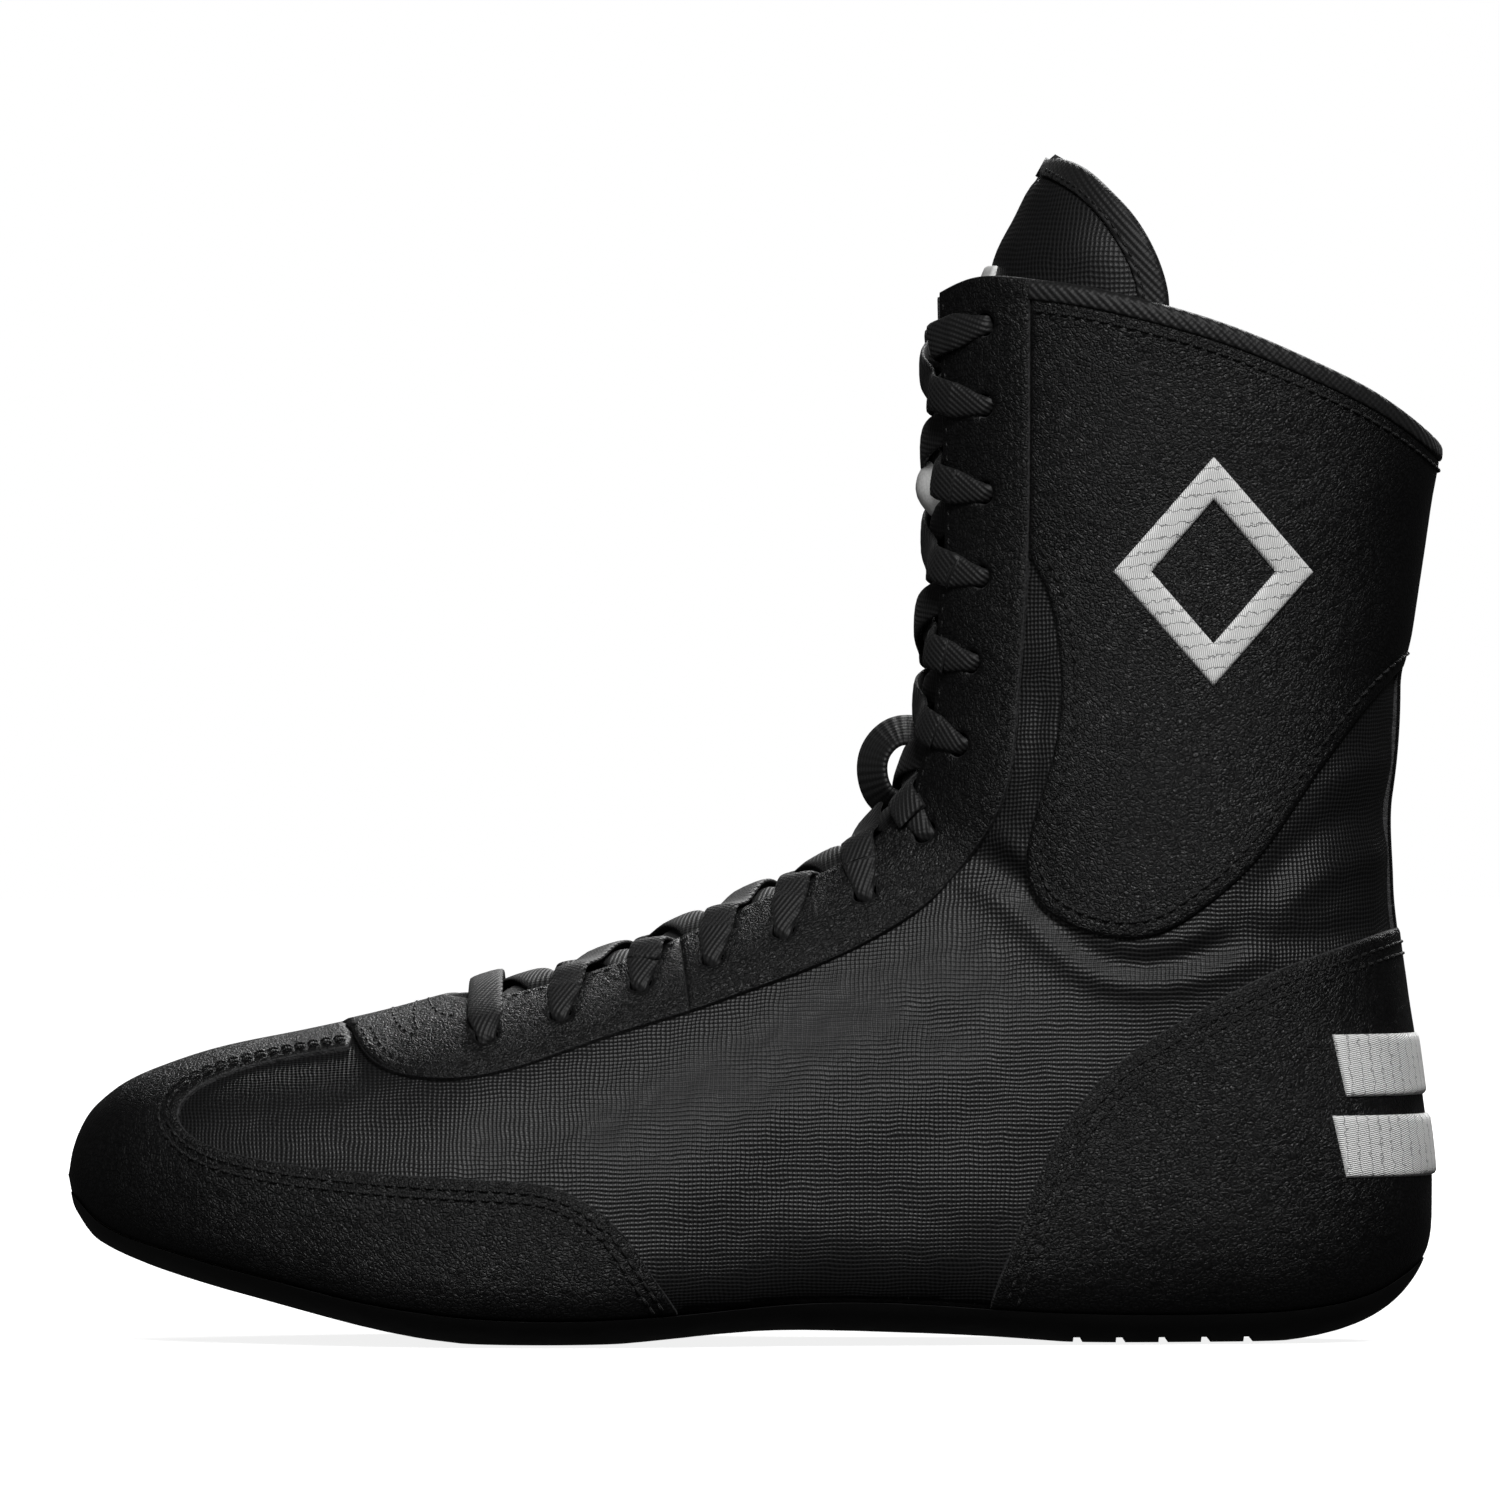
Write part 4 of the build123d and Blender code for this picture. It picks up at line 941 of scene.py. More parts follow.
def stretches(kept):
    """(first, end) of each run of five or more kept places."""
    start = 0
    for k in range(len(kept) + 1):
        if k == len(kept) or not kept[k]:
            if k - start > 4:
                yield start, k
            start = k + 1


ROD_SIZE = np.array([0.55, 0.95, 1.0, 0.95, 0.55])
ROD_LIFT = np.array([-0.35, 0.0, 0.08, 0.0, -0.35])
ROD_AROUND = 6


def rod(points, normals, radius):
    """One stitch: a little rod whose ends dip into the leather."""
    angle = np.arange(ROD_AROUND) * 2 * math.pi / ROD_AROUND
    way = np.gradient(points, axis=0)
    aside = unit(np.cross(normals, unit(way)))
    size = (radius * ROD_SIZE)[:, None, None]
    ring = (
        (points + normals * ROD_LIFT[:, None])[:, None]
        + aside[:, None] * np.cos(angle)[None, :, None] * 1.15 * size
        + normals[:, None] * np.sin(angle)[None, :, None] * size
    )
    return ring.reshape(-1, 3)


def stitches(name, body, runs, offset=2.0, pitch=2.9, long=2.35, radius=0.3):
    """Thread stitches along (line, side) runs."""
    rods = []
    for (row, column, kept), side in runs:
        for first, end in stretches(kept):
            points, normals = body.at(row[first:end], column[first:end], side, offset)
            length = length_along(points)
            for middle in np.arange(pitch * 0.5, length[-1], pitch):
                at = middle + long * np.linspace(-0.5, 0.5, len(ROD_SIZE))
                if at[0] < 0 or at[-1] > length[-1]:
                    continue
                here, out = (
                    np.stack([np.interp(at, length, table[:, k]) for k in range(3)], -1)
                    for table in (points, normals)
                )
                rods.append(rod(here, out, radius))
    verts = np.concatenate(rods)
    faces = [
        (u, v, v + ROD_AROUND, u + ROD_AROUND)
        for start in range(0, len(verts), len(ROD_SIZE) * ROD_AROUND)
        for ring in range(start, start + (len(ROD_SIZE) - 1) * ROD_AROUND, ROD_AROUND)
        for u, v in ((ring + q, ring + (q + 1) % ROD_AROUND) for q in range(ROD_AROUND))
    ]
    return mesh_object(name, verts, faces, verts[:, [0, 2]], weld=False)


def strip(name, points, normals, widths, thicknesses, around=12, power=0.8):
    """A flat ribbon with rounded edges along a line. Its UV runs along and across it."""
    way = unit(np.gradient(points, axis=0))
    aside = unit(np.cross(way, normals))
    up = np.cross(aside, way)
    turn = np.arange(around) * 2 * math.pi / around
    wide, high = (np.sign(wave) * np.abs(wave) ** power / 2 for wave in (np.cos(turn), np.sin(turn)))
    ring = (
        points[:, None]
        + aside[:, None] * wide[None, :, None] * widths[:, None, None]
        + up[:, None] * high[None, :, None] * thicknesses[:, None, None]
    )
    last = (len(points) - 1) * around
    faces = [
        (r + q, r + (q + 1) % around, r + around + (q + 1) % around, r + around + q)
        for r in range(0, last, around) for q in range(around)
    ]
    faces += [tuple(range(around))[::-1], tuple(range(last, last + around))]
    drawn = np.stack([np.repeat(length_along(points), around), (wide * widths[:, None]).ravel()], -1)
    return mesh_object(name, ring.reshape(-1, 3), faces, drawn, weld=False)


# ---- leather panels -----------------------------------------------------------------------------
seams = []  # (run, side) pairs for the stitching


def halves(keep, lines, throat=False, holes=(), sides=(1, -1), **spacing):
    """A panel's patches on both sides, or on one."""
    return [
        Patch(body, lines + [throat_line(side)] * throat + list(holes), keep, side, **spacing)
        for side in sides
    ]


def sewn(line, distances, keep):
    """Notes rows of stitches at distances in from a side-view edge."""
    for side in (1, -1):
        for run in body.from_side(line):
            if len(run) > 6:
                seams.extend((inset_line(body, run, distance, side, keep), side) for distance in distances)


def leather(name, node, patches, top, waves=0.0, skirt=0.4):
    panel = build(name, patches, rolled(top, waves=waves), skirt=skirt)
    bend(panel, "leather", LEATHER, node)


toe_keep = every(within(TOE_AREA), within(ABOVE_SOLE), within(STAY_BAND, False))
toe_patches = halves(toe_keep, side_lines(TOE_LINE, SOLE_LINE, EYESTAY_LINE))
leather("toe_cap_leather", "toe_cap", toe_patches, 2.05, waves=0.12, skirt=0.5)
sewn(TOE_LINE, (2.3, 4.3), toe_keep)

counter_keep = every(within(COUNTER_AREA), within(ABOVE_SOLE))
counter_patches = halves(counter_keep, side_lines(COUNTER_LINE, SOLE_LINE))
leather("heel_counter_leather", "heel_counter", counter_patches, 2.25, waves=0.18, skirt=0.5)
sewn(COUNTER_LINE, (3.0, 5.4), counter_keep)

SEAM_LINE = spline(FACING_SEAM, 1.0)
facing_area = every(within(STAY_BAND), within(BEFORE_SEAM))
facing_patches = halves(
    every(facing_area, outside_throat, clear_of_eyelets), side_lines(EYESTAY_LINE, SEAM_LINE),
    throat=True, holes=eyelet_lines(0, 3), spacing=1.3,
)
leather("throat_facing_leather", "throat_facing", facing_patches, 2.45, waves=0.1)
sewn(EYESTAY_LINE, (1.9, 3.9), facing_area)

stay_area = every(within(STAY_BAND), within(BEFORE_SEAM, False), within(below_collar()))
for name, side in SIDES.items():
    stay_patches = halves(
        every(stay_area, outside_throat, clear_of_eyelets), side_lines(EYESTAY_LINE, SEAM_LINE, COLLAR_LINE),
        throat=True, holes=eyelet_lines(2, 13), sides=(side,), spacing=1.3,
    )
    leather(f"eyestay_leather_{name}", f"eyestay_{name}", stay_patches, 2.55, waves=0.12)
sewn(EYESTAY_LINE, (2.2, 3.9), stay_area)
sewn(SEAM_LINE, (1.6,), every(within(STAY_BAND), within(BEFORE_SEAM, False), outside_throat))
for side in (1, -1):
    throat_keep = every(outside_throat, within(below_collar()))
    seams.append((inset_line(body, throat_line(side)[8:], 1.9, side, throat_keep), side))
CRESCENTS = [
    [(77.2, 71.0), (75.6, 67.6), (73, 65.2), (70.3, 64.7)], [(71.4, 71.6), (71.6, 68), (70.3, 64.9)],
    [(69.1, 71.8), (66.8, 69.4), (63.5, 68.6), (59.8, 69)],
]
for crescent in CRESCENTS:
    for run in body.from_side(spline(crescent, 0.6)):
        seams.extend(((*run.T, np.ones(len(run), bool)), side) for side in (1, -1))

ankle_keep = every(within(ANKLE_AREA), within(STAY_BAND, False), within(below_collar(3.6)))
for name, side in SIDES.items():
    ankle_patches = halves(
        ankle_keep, side_lines(ANKLE_LINE, EYESTAY_LINE, COLLAR_LINE - (0, 3.6)), sides=(side,)
    )
    leather(f"ankle_panel_leather_{name}", f"ankle_panel_{name}", ankle_patches, 2.0, waves=0.22)
sewn(ANKLE_LINE, (3.4,), ankle_keep)
sewn(COLLAR_LINE - (0, 4.0), (2.4,), ankle_keep)

STRIP_AREA = np.array([(-160, 84), (-100, 84), (-100, 146), (-160, 146)], float)
STRIP_HALF_WIDTH = 7.5


def near_back(body, row, column, side):
    points, _ = body.at(row, column, side, OUTER)
    return (np.abs(points[:, 1] - CENTRE_Y) < STRIP_HALF_WIDTH) & (column > body.COLUMNS * 0.6)


def back_line(side):
    """The long edge of the back strip."""
    rows = body.row(np.arange(188.0, 262.0, 1.0))
    columns = np.arange(body.COLUMNS / 2 + 1, body.COLUMNS + 1)
    found = []
    for row in rows:
        points, _ = body.at(np.full(len(columns), row), columns, side, OUTER)
        found.append(np.interp(-STRIP_HALF_WIDTH, -np.abs(points[:, 1] - CENTRE_Y), columns))
    return np.stack([rows, found], -1)


strip_keep = every(within(STRIP_AREA), near_back)
strip_patches = [Patch(body, [back_line(side)], strip_keep, side, spacing=1.3) for side in (1, -1)]
leather("back_strip_leather", "back_strip", strip_patches, 1.75)

# ---- mesh and lining ----------------------------------------------------------------------------
CREASES = [  # each a fold of the mesh under the ankle: line, depth, half width
    ([(-40, 103), (-50, 100.5), (-60, 93), (-70, 84), (-80, 80.5), (-92, 82), (-104, 85)], -1.9, 3.2),
    ([(-47, 110), (-53, 105), (-60, 97), (-66, 88.5), (-78, 82.5), (-90, 84.5), (-100, 89)], 1.2, 2.0),
    ([(-36, 99), (-46, 96.5), (-58, 87.5), (-68, 79), (-80, 75.5), (-95, 78), (-112, 84)], 1.3, 2.6),
    ([(-102, 86), (-114, 85), (-126, 87), (-136, 89)], -1.2, 2.6),
    ([(-104, 92), (-114, 104), (-124, 110), (-138, 113)], -1.7, 3.4),
    ([(-108, 90), (-120, 98), (-130, 102), (-139, 104)], 1.3, 2.8),
    ([(-116, 113), (-124, 119), (-131, 122), (-139, 123)], 1.2, 2.6),
    ([(-60, 108), (-58, 118), (-59, 130), (-60, 142)], -0.7, 2.0),
    ([(-12, 76), (-26, 72), (-42, 66), (-52, 62)], -0.8, 4.5),
    ([(16, 63), (6, 58), (-6, 56), (-18, 57)], -0.55, 4.5),
    ([(36, 52), (28, 47), (22, 42), (14, 37)], -0.6, 4.0),
    ([(62, 50), (54, 45), (46, 42)], -0.35, 3.5),
]


def creased(top):
    """Offsets of the mesh: folds under the ankle, and a little slack between the leather panels."""

    def offsets(p):
        seen = side_view(p.body, p.row, p.column, p.side, OUTER)
        out = np.full(len(seen), float(top))
        for points, depth, width in CREASES:
            fold = spline(points, 3.0)
            ends = np.linalg.norm(seen[:, None] - fold[None, [0, -1]], axis=2).min(1)
            apart = distance_to(seen, fold[:-1], fold[1:])
            out += depth * 0.62 * np.clip(ends / 9.0, 0.15, 1) * np.exp(-((apart / width) ** 2))
        x, z = seen.T
        out += 0.16 * np.sin(x * 0.16 + 0.9 * np.sin(z * 0.11)) * np.sin(z * 0.21 + x * 0.05)
        return np.clip(out, top - 1.3, top + 0.95)

    return offsets


mesh_keep = every(within(ABOVE_SOLE), within(below_collar(4.0)), outside_throat, clear_of_eyelets)
for name, side in SIDES.items():
    mesh_patches = halves(
        mesh_keep, side_lines(SOLE_LINE, UNDER_COLLAR), throat=True, holes=eyelet_lines(), sides=(side,),
        spacing=1.7, rings=(),
    )
    panel = build(f"mesh_body_{name}", mesh_patches, creased(0.75), skirt=-0.3)
    bend(panel, "mesh", MESH, f"mesh_panel_{name}")

lining_patches = halves(
    every(within(ABOVE_SOLE), within(below_collar(2.0)), outside_throat),
    side_lines(SOLE_LINE, COLLAR_LINE - (0, 2.0)), throat=True, spacing=3.0, rings=(),
)
lining = build("lining_knit", lining_patches, lambda p: np.full(len(p.row), -1.2), flip=True)
bend(lining, "lining", LINING, "lining")

# ---- collar binding -----------------------------------------------------------------------------
TAPE_DEPTH = 4.3
collar_keep = every(
    within(below_collar()), within(below_collar(TAPE_DEPTH), False), within(STAY_BAND, False)
)


def tape_face(sign):
    """Offsets of one face of the tape, which is folded round the edge."""

    def offsets(p):
        seen = side_view(p.body, p.row, p.column, p.side, OUTER)
        low_line = COLLAR_LINE - (0, TAPE_DEPTH)
        top = np.clip(distance_to(seen, COLLAR_LINE[:-1], COLLAR_LINE[1:]) / 2.1, 0, 1)
        low = np.clip(distance_to(seen, low_line[:-1], low_line[1:]) / 0.5, 0, 1)
        return 0.55 + sign * (0.25 + 1.75 * np.sqrt(1 - (1 - top) ** 2) - 0.35 * (1 - low) ** 2)

    return offsets


collar_patches = halves(
    collar_keep, side_lines(COLLAR_LINE, COLLAR_LINE - (0, TAPE_DEPTH), EYESTAY_LINE),
    spacing=1.1, rings=(0.3, 0.7, 1.2),
)
collar = build("collar_tape", collar_patches, tape_face(1), inside=tape_face(-1))
bend(collar, "webbing", WEBBING, "collar_binding")

bend(stitches("stitching", body, seams, offset=2.35), "leather", THREAD)

# ---- tongue -------------------------------------------------------------------------------------
TONGUE_RIM = [
    (-75, 200), (-80.5, 216), (-79.6, 223.5), (-77, 229.6), (-73.2, 235.6), (-68, 241.2), (-61, 246),
]
TONGUE_INSIDE = closed(TONGUE_RIM, (-20, 246), (-20, 200))
RIM_LINE = spline(TONGUE_RIM)
ABOVE_SPLIT = np.array([(-160, 200), (160, 200), (160, 290), (-160, 290)], float)


def in_tongue_edge(*place):
    seen = side_view(*place)
    return in_polygon(seen, TONGUE_AREA) & in_polygon(seen, ABOVE_SPLIT) & ~in_polygon(seen, TONGUE_INSIDE)


def in_tongue(*place):
    return within(TONGUE_AREA)(*place) & ~in_tongue_edge(*place)


def tongue_patches(keep, **spacing):
    split = np.array([(-90, 200), (-60, 200)], float)
    lines = [run for line in (TONGUE_LINE, RIM_LINE, split) for run in tongue_body.from_side(line)]
    return [Patch(tongue_body, lines, keep, side, **spacing) for side in (1, -1)]


def pad(sign):
    """The tongue swells between its edges, and a little more where the lace doesn't press on it."""

    def offsets(p):
        swell = np.clip(p.edge / 9, 0, 1)
        swell = swell * (2 - swell)
        if sign < 0:
            return -5.2 - 0.4 * swell
        z = side_view(p.body, p.row, p.column, p.side)[:, 1]
        return -3.75 + (1.15 + 0.35 * np.sin(z * 2 * math.pi / 17.5 + 0.8)) * swell

    return offsets


def tongue_tape(sign):
    """Offsets of one face of the tape round the tongue's free edge."""

    def offsets(p):
        seen = side_view(p.body, p.row, p.column, p.side)
        top = np.clip(distance_to(seen, TONGUE_LINE[:-1], TONGUE_LINE[1:]) / 1.6, 0, 1)
        return -4.5 + sign * (0.3 + 1.15 * np.sqrt(1 - (1 - top) ** 2))

    return offsets


tongue = build("tongue_pad", tongue_patches(in_tongue, spacing=1.9, rings=(0.6,)), pad(1), inside=pad(-1))
bend(tongue, "tongue_mesh", TONGUE_MESH, "tongue")
edge_patches = tongue_patches(in_tongue_edge, spacing=1.3, rings=(0.4, 0.9))
tape = build("tongue_tape", edge_patches, tongue_tape(1), inside=tongue_tape(-1))
bend(tape, "webbing", WEBBING, "tongue_binding")
tongue_seams = [
    (inset_line(tongue_body, run, 1.2, side, in_tongue_edge), side)
    for side in (1, -1) for run in tongue_body.from_side(RIM_LINE) if len(run) > 6
]
tongue_thread = stitches(
    "tongue_stitching", tongue_body, tongue_seams, offset=-3.0, pitch=2.4, long=2.0, radius=0.25
)
bend(tongue_thread, "webbing", THREAD)

LOOP = [(-32, 112.6), (-27.4, 114.2), (-25, 119), (-25.8, 124.8), (-30, 128.6), (-37, 128.2)]
loop_line = spline(LOOP, 0.7)
loop_way = unit(np.gradient(loop_line, axis=0))
even = np.ones(len(loop_line))
loop = strip(
    "keeper_loop",
    np.stack([loop_line[:, 0], CENTRE_Y * even, loop_line[:, 1]], -1),
    np.stack([loop_way[:, 1], 0.6 * even, -loop_way[:, 0]], -1),
    11.0 * even, 1.8 * even, around=20, power=0.45,
)
bend(loop, "webbing", LOOP_RIB, "tongue_loop")


def tab(name, low, high, wide, crown, node):
    """A soft rubber label on the tongue."""

    def keep(body, row, column, side):
        points, _ = body.at(row, column, side, body.base)
        return (
            (np.abs(points[:, 1] - CENTRE_Y) < wide / 2) & (points[:, 2] > low) & (points[:, 2] < high)
            & (column < body.COLUMNS * 0.5)
        )

    stations = np.linspace(low, high, 12) - BEND_Z + BEND_END
    patches = []
    for side in (1, -1):
        out = tongue_body.from_width(stations, np.full(len(stations), wide / 2), side)
        ends = [
            np.stack([np.full(8, tongue_body.row(s)), np.linspace(0, c, 8)], -1)
            for s, c in ((stations[0], out[0, 1]), (stations[-1], out[-1, 1]))
        ]
        line = np.concatenate([ends[0], out[1:-1], ends[1][::-1]])
        patches.append(Patch(tongue_body, [line], keep, side, spacing=0.9, rings=(0.3, 0.7)))

    def top(p):
        """Crowned where it shows between two crossings of the lace."""
        points, _ = p.body.at(p.row, p.column, p.side, p.body.base)
        across = np.clip(1 - ((points[:, 1] - CENTRE_Y) / 7) ** 2, 0, 1)
        along = np.clip(1 - ((points[:, 2] - (low + high) / 2) / 7) ** 2, 0, 1)
        return -1.6 + crown * across * along - 0.5 * (1 - np.clip(p.edge / 0.8, 0, 1)) ** 2

    label = build(name, patches, top, skirt=-4.0)
    bend(label, "label_rubber", LABEL, node)


tab("label_tab_lower", 173.0, 187.5, 17.0, 4.5, "tongue_label_lower")
tab("label_tab_upper", 219.0, 226.5, 17.0, 0.6, "tongue_label_upper")


# ---- embroidery ---------------------------------------------------------------------------------
def polygon_line(corners, step=0.8):
    """A closed polygon as dense points."""
    corners = np.array(corners, float)
    parts = []
    for a, b in zip(corners, np.roll(corners, -1, 0)):
        count = max(int(np.linalg.norm(b - a) / step), 1)
        parts.append(a + (b - a) * (np.arange(count) / count)[:, None])
    parts.append(corners[:1])
    return np.concatenate(parts)


def puffed(top):
    return lambda p: top - 0.75 * (1 - np.clip(p.edge / 0.9, 0, 1)) ** 2


ANKLE_MARK = np.array((-96.0, 162.0))
outer_mark = ANKLE_MARK + np.array([(0, 24), (21, 0), (0, -24), (-21, 0)], float)
inner_mark = ANKLE_MARK + np.array([(0, 15), (13, 0), (0, -15), (-13, 0)], float)
for name, side in SIDES.items():
    mark_patches = halves(
        every(within(outer_mark), within(inner_mark, False)),
        side_lines(polygon_line(outer_mark), polygon_line(inner_mark)),
        sides=(side,), spacing=1.0, rings=(0.3, 0.7),
    )
    mark = build(f"ankle_mark_{name}", mark_patches, puffed(3.0), skirt=1.7)
    bend(mark, "embroidery", SATIN, f"ankle_emblem_{name}")

bars = [np.array([(-160, z), (-124, z), (-121, z + 13), (-160, z + 13)], float) for z in (35, 52)]


def in_bars(body, row, column, side):
    inside = [within(bar)(body, row, column, side) for bar in bars]
    return (inside[0] | inside[1]) & (column > body.COLUMNS * 0.5)


bar_patches = halves(in_bars, side_lines(*[polygon_line(bar) for bar in bars]), spacing=1.0, rings=(0.3, 0.7))
heel_mark = build("heel_mark", bar_patches, puffed(3.2), skirt=1.9)
bend(heel_mark, "embroidery", satin_finish("satin_stitch_heel", 96), "heel_emblem")

# ---- lace ---------------------------------------------------------------------------------------
UNDER, OVER = -1.6, OUTER + 1.25
UPPER_LEG, LOWER_LEG = (0.9, 1.2, 1.4), (-0.9, -0.7, -0.6)
LACE_WIDTH, LACE_THICKNESS = 7.6, 1.45
PINCHED_WIDTH, PINCHED_THICKNESS = 3.9, 2.2
TIP_WIDTH, TIP_POINTS = 2.4, 6
LEG_HALF_WIDTH = 3.5
LACE_TAIL = [(-56, 213), (-66.2, 206), (-74.8, 195), (-79.3, 183)]
TAIL_DEPTH = -3.1
SPOTS = np.array(EYELETS, float)


def surface_place(x, z, side, offset):
    row, column, _ = body.place([x], [z])
    point, normal = body.at(row, column, side, offset)
    return point[0], normal[0]


def throat_place(row_share, y, offset):
    """A place over the throat between two rows of eyelets, y out from the centre line."""
    low = min(int(row_share), len(SPOTS) - 2)
    x, z = SPOTS[low] + (SPOTS[low + 1] - SPOTS[low]) * (row_share - low)
    row, _, _ = body.place([x], [z])
    columns = np.arange(0.0, 60.0, 0.5)
    side = 1 if y >= 0 else -1
    points, _ = body.at(np.full(len(columns), row[0]), columns, side, OUTER)
    column = np.interp(abs(y), (points[:, 1] - CENTRE_Y) * side, columns)
    point, normal = body.at(row, np.array([column]), side, offset)
    return point[0], normal[0]


def eyelet_reach(row):
    return surface_place(*EYELETS[row], 1, 0.4)[0][1] - CENTRE_Y


def edge_points(reach, half_width, over):
    """How a leg passes the edge of the throat, over the leather or under it, going out."""
    if over:
        return [(half_width - 0.6, OVER + 0.7), (half_width + 3.6, OVER + 0.35), (reach - 3.6, OVER)]
    return [(half_width + 1.5, UNDER), (reach - 4.2, UNDER)]


def crossing(row, side, low):
    """One leg, from the eyelet of `row` on the other side to the next one up on this side."""
    start, end = eyelet_reach(row), eyelet_reach(row + 1)
    x, z = EYELETS[row]
    station = body.station(body.place([x], [z])[0])[0]
    half_width = float(smooth(THROAT_HALF_WIDTH, station))
    pitch = math.dist(EYELETS[row], EYELETS[row + 1])
    clear = min(LEG_HALF_WIDTH / math.sin(math.atan2(pitch, start + end)), half_width - 3.5)
    heights = LOWER_LEG if low else UPPER_LEG
    path = [(-y, h) for y, h in reversed(edge_points(start, half_width, row > 0))]
    path += [(-clear, heights[2]), (0, heights[1]), (clear, heights[0])]
    path += edge_points(end, half_width, row == len(EYELETS) - 2)
    return [(*throat_place(row + (y + start) / (start + end), y * side, h), 1.0) for y, h in path]


def through(row, side, inward):
    point, normal = surface_place(*EYELETS[row], side, 0.4)
    depths = (1.3, -1.1) if inward else (-1.1, 1.3)
    return [(point + normal * d, normal, 0.0) for d in depths]


def tail(side):
    run = spline([EYELETS[-1]] + LACE_TAIL, 1.0)
    picks = run[np.linspace(0, len(run) - 1, 9).astype(int)[1:]]
    return [(*surface_place(x, z, side, TAIL_DEPTH), 1.0) for x, z in picks]


def way_up(side, low):
    """One end of the lace, from the eyelet of the first row to its tail inside the boot."""
    end = through(0, side, inward=True)
    for row in range(len(EYELETS) - 1):
        side = -side
        end += crossing(row, side, low)
        end += through(row + 1, side, inward=row == len(EYELETS) - 2)
    return end + tail(side)


bar = eyelet_reach(0) - 3.6
route = list(reversed(way_up(1, low=True)))
route += [(*throat_place(0, bar * share, OVER + 0.3), 1.0) for share in (1, 0.6, 0.2, -0.2, -0.6, -1)]
route += way_up(-1, low=False)

spots, ups, full = (np.array(column) for column in zip(*route))
# in an eyelet the ribbon turns on edge: its up vector is square to its way through the hole
for k in np.flatnonzero(full == 0):
    onward = 1 if full[k - 1] == 1 else -1
    travel = spots[k + onward] - spots[k]
    lead = spots[k] - spots[k - onward]
    ups[k] = unit(-np.cross(travel, np.cross(lead, ups[k])))


def dense(values, steps):
    """Catmull-Rom points between the given ones."""
    v = np.asarray(values, float).reshape(len(values), -1)
    before = np.concatenate([v[:1], v[:-1]])
    after = np.concatenate([v[1:], v[-1:]])
    after2 = np.concatenate([v[2:], v[-1:], v[-1:]])
    out = [
        v + 0.5 * (
            (after - before) * t + (2 * before - 5 * v + 4 * after - after2) * t**2
            + (3 * v - before - 3 * after + after2) * t**3
        )
        for t in np.arange(steps) / steps
    ]
    out = np.stack(out, 1)[:-1].reshape(-1, v.shape[1])
    return np.concatenate([out, v[-1:]])


line = dense(spots, 5)
up = unit(dense(ups, 5))
flatness = np.clip(dense(full, 5)[:, 0], 0, 1)
width = PINCHED_WIDTH + (LACE_WIDTH - PINCHED_WIDTH) * flatness
thick = PINCHED_THICKNESS + (LACE_THICKNESS - PINCHED_THICKNESS) * flatness
from_tip = np.clip(np.minimum(np.arange(len(line)), np.arange(len(line))[::-1]) / TIP_POINTS, 0, 1)
width = TIP_WIDTH + (width - TIP_WIDTH) * from_tip
lace = strip("flat_lace", line, up, width, thick, around=14, power=0.75)
bend(lace, "lace", LACE, "lace")

INNER_PIECES = {
    RUBBER: ["outsole"], BOARD: ["insole_board"], FOAM: ["sock_liner"],
    STIFFENER: ["toe_puff", "heel_stiffener"],
    BACKING: [f"{place}_backing_{name}" for place in ("midfoot", "eyelet") for name in SIDES],
    FILM: [f"aglet_{name}" for name in SIDES],
}
for material, nodes in INNER_PIECES.items():
    for node in nodes:
        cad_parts[node].data.materials.clear()
        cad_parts[node].data.materials.append(material)

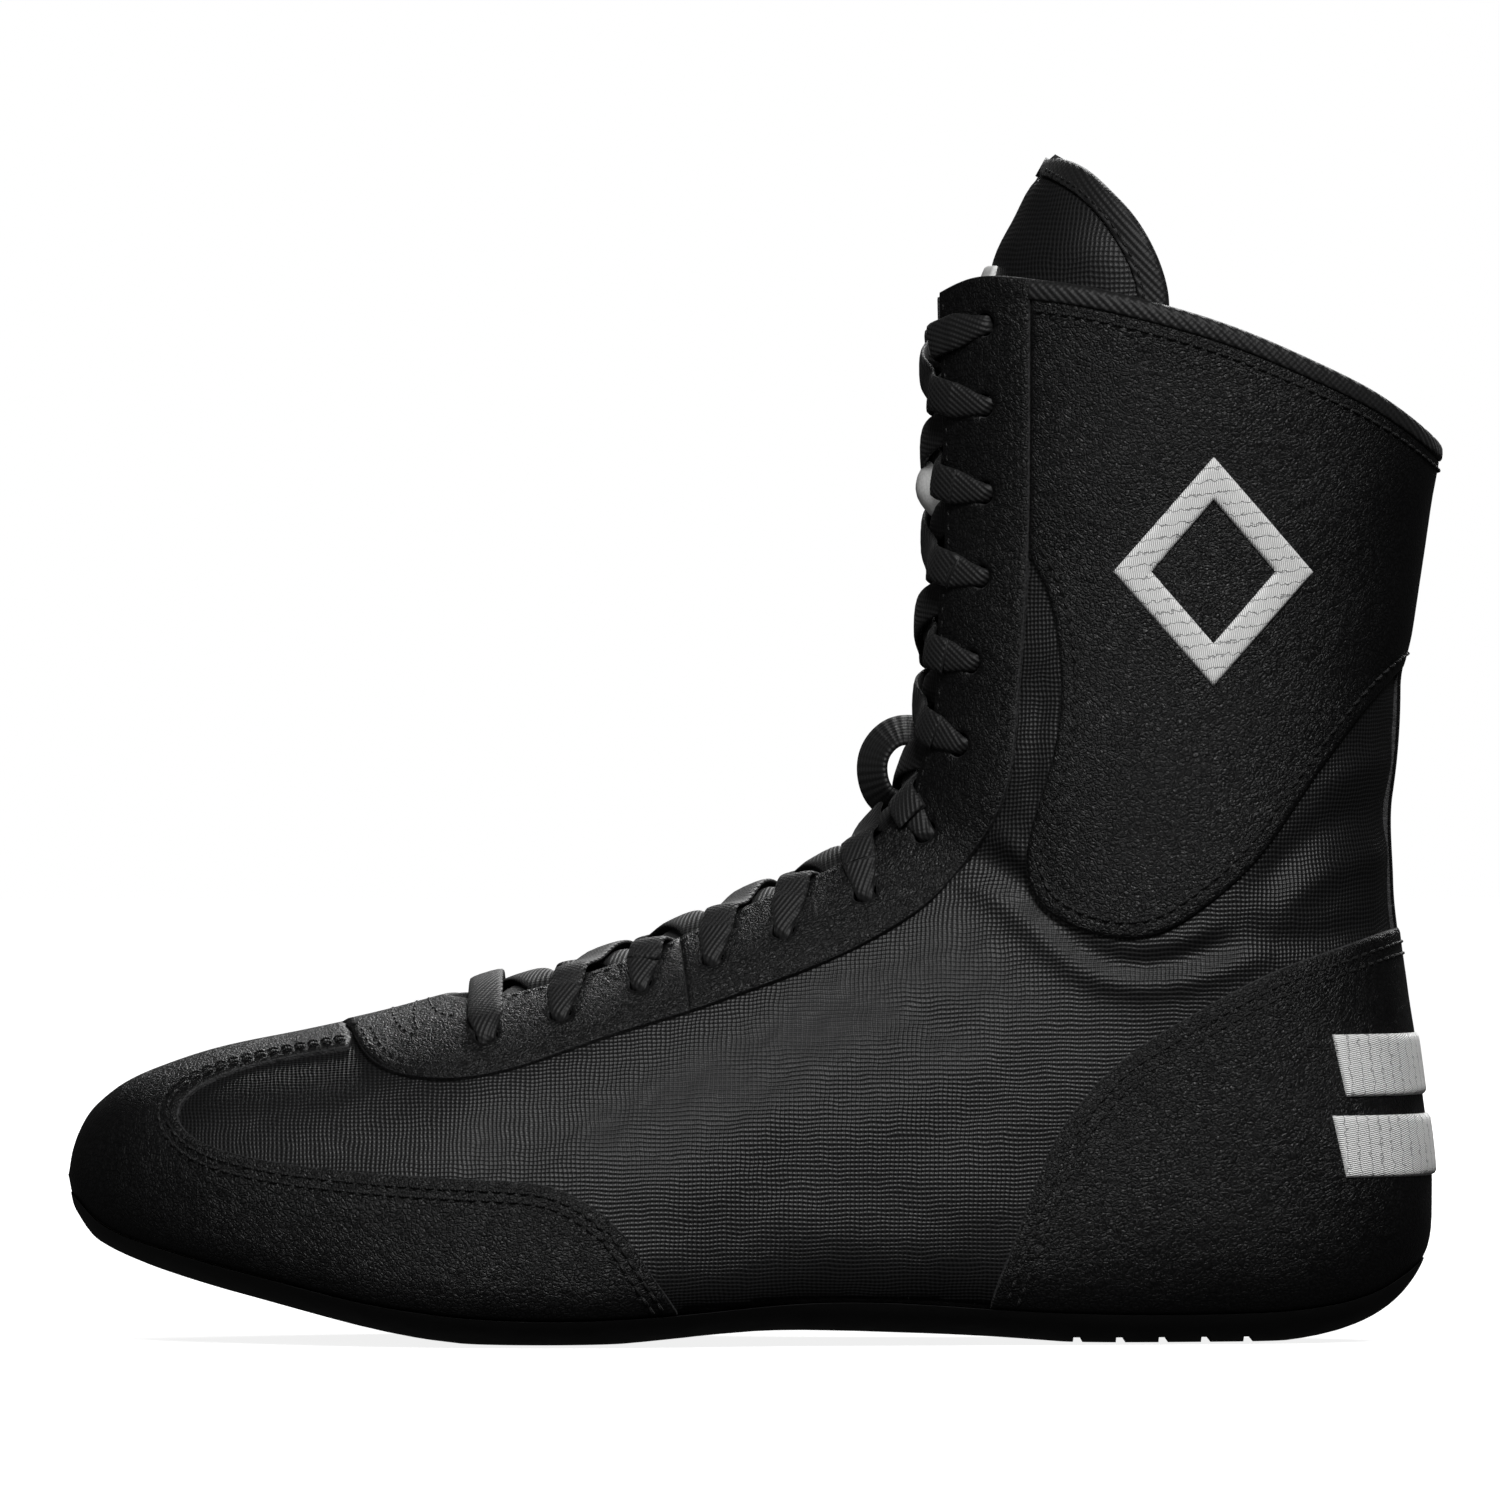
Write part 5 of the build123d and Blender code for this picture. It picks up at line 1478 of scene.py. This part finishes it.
# ---- stage, camera and light --------------------------------------------------------------------
def stage(name, shape, near_glow, shade):
    """A plain pale surface that is bright by itself and sheds no light on the boot."""
    f = Finish(name, Roughness=1.0, Specular_IOR_Level=0.0)
    distance = f.add("VectorMath", operation="LENGTH")
    f.link(f.add("TexCoord").outputs["Object"], distance.inputs[0])
    glow = f.spread(distance.outputs["Value"], 0.3, 1.2, near_glow, 1.0)
    f.link(glow, f.shader.inputs["Emission Strength"])
    f.shader.inputs["Emission Color"].default_value = (1, 1, 1, 1)
    f.shader.inputs["Base Color"].default_value = (*grey(shade), 1)
    mesh = bpy.data.meshes.new(name)
    shape.to_mesh(mesh)
    shape.free()
    mesh.materials.append(f.material)
    thing = linked(bpy.data.objects.new(name, mesh))
    thing.visible_diffuse = thing.visible_glossy = thing.visible_transmission = False
    thing.visible_shadow = False
    return thing


disc = bmesh.new()
bmesh.ops.create_circle(disc, cap_ends=True, segments=96, radius=8.9)
stage("floor", disc, 0.86, 0.5).location.z = -0.0004
sphere = bmesh.new()
bmesh.ops.create_uvsphere(sphere, u_segments=64, v_segments=32, radius=9.0)
stage("backdrop", sphere, 1.0, 0.0)


def softbox(name, location, size, power):
    data = bpy.data.lights.new(name, "AREA")
    data.shape = "RECTANGLE"
    data.size, data.size_y = size
    data.energy = power
    lamp = linked(bpy.data.objects.new(name, data))
    lamp.location = location
    lamp.rotation_euler = (Vector((0, 0, 0.1)) - Vector(location)).to_track_quat("-Z", "Y").to_euler()


softbox("key", (-0.3, 1.9, 1.65), (0.9, 0.7), 60)
softbox("fill", (0.9, 1.3, 0.5), (0.6, 0.9), 2.5)
softbox("rear", (-0.5, -1.8, 1.6), (1.2, 1.0), 45)

world = bpy.data.worlds.new("studio")
world.use_nodes = True
world.node_tree.nodes["Background"].inputs[0].default_value = (1, 1, 1, 1)
world.node_tree.nodes["Background"].inputs[1].default_value = 0.03
bpy.context.scene.world = world
bpy.context.scene.view_settings.view_transform = "Standard"

camera_data = bpy.data.cameras.new("camera")
camera_data.lens = 340
camera_data.sensor_width = 36
camera_data.clip_end = 50
camera = linked(bpy.data.objects.new("camera", camera_data))
camera.location = (0.001, 3.0, 0.1247)
camera.rotation_euler = (math.radians(90), 0, math.radians(180))
bpy.context.scene.camera = camera
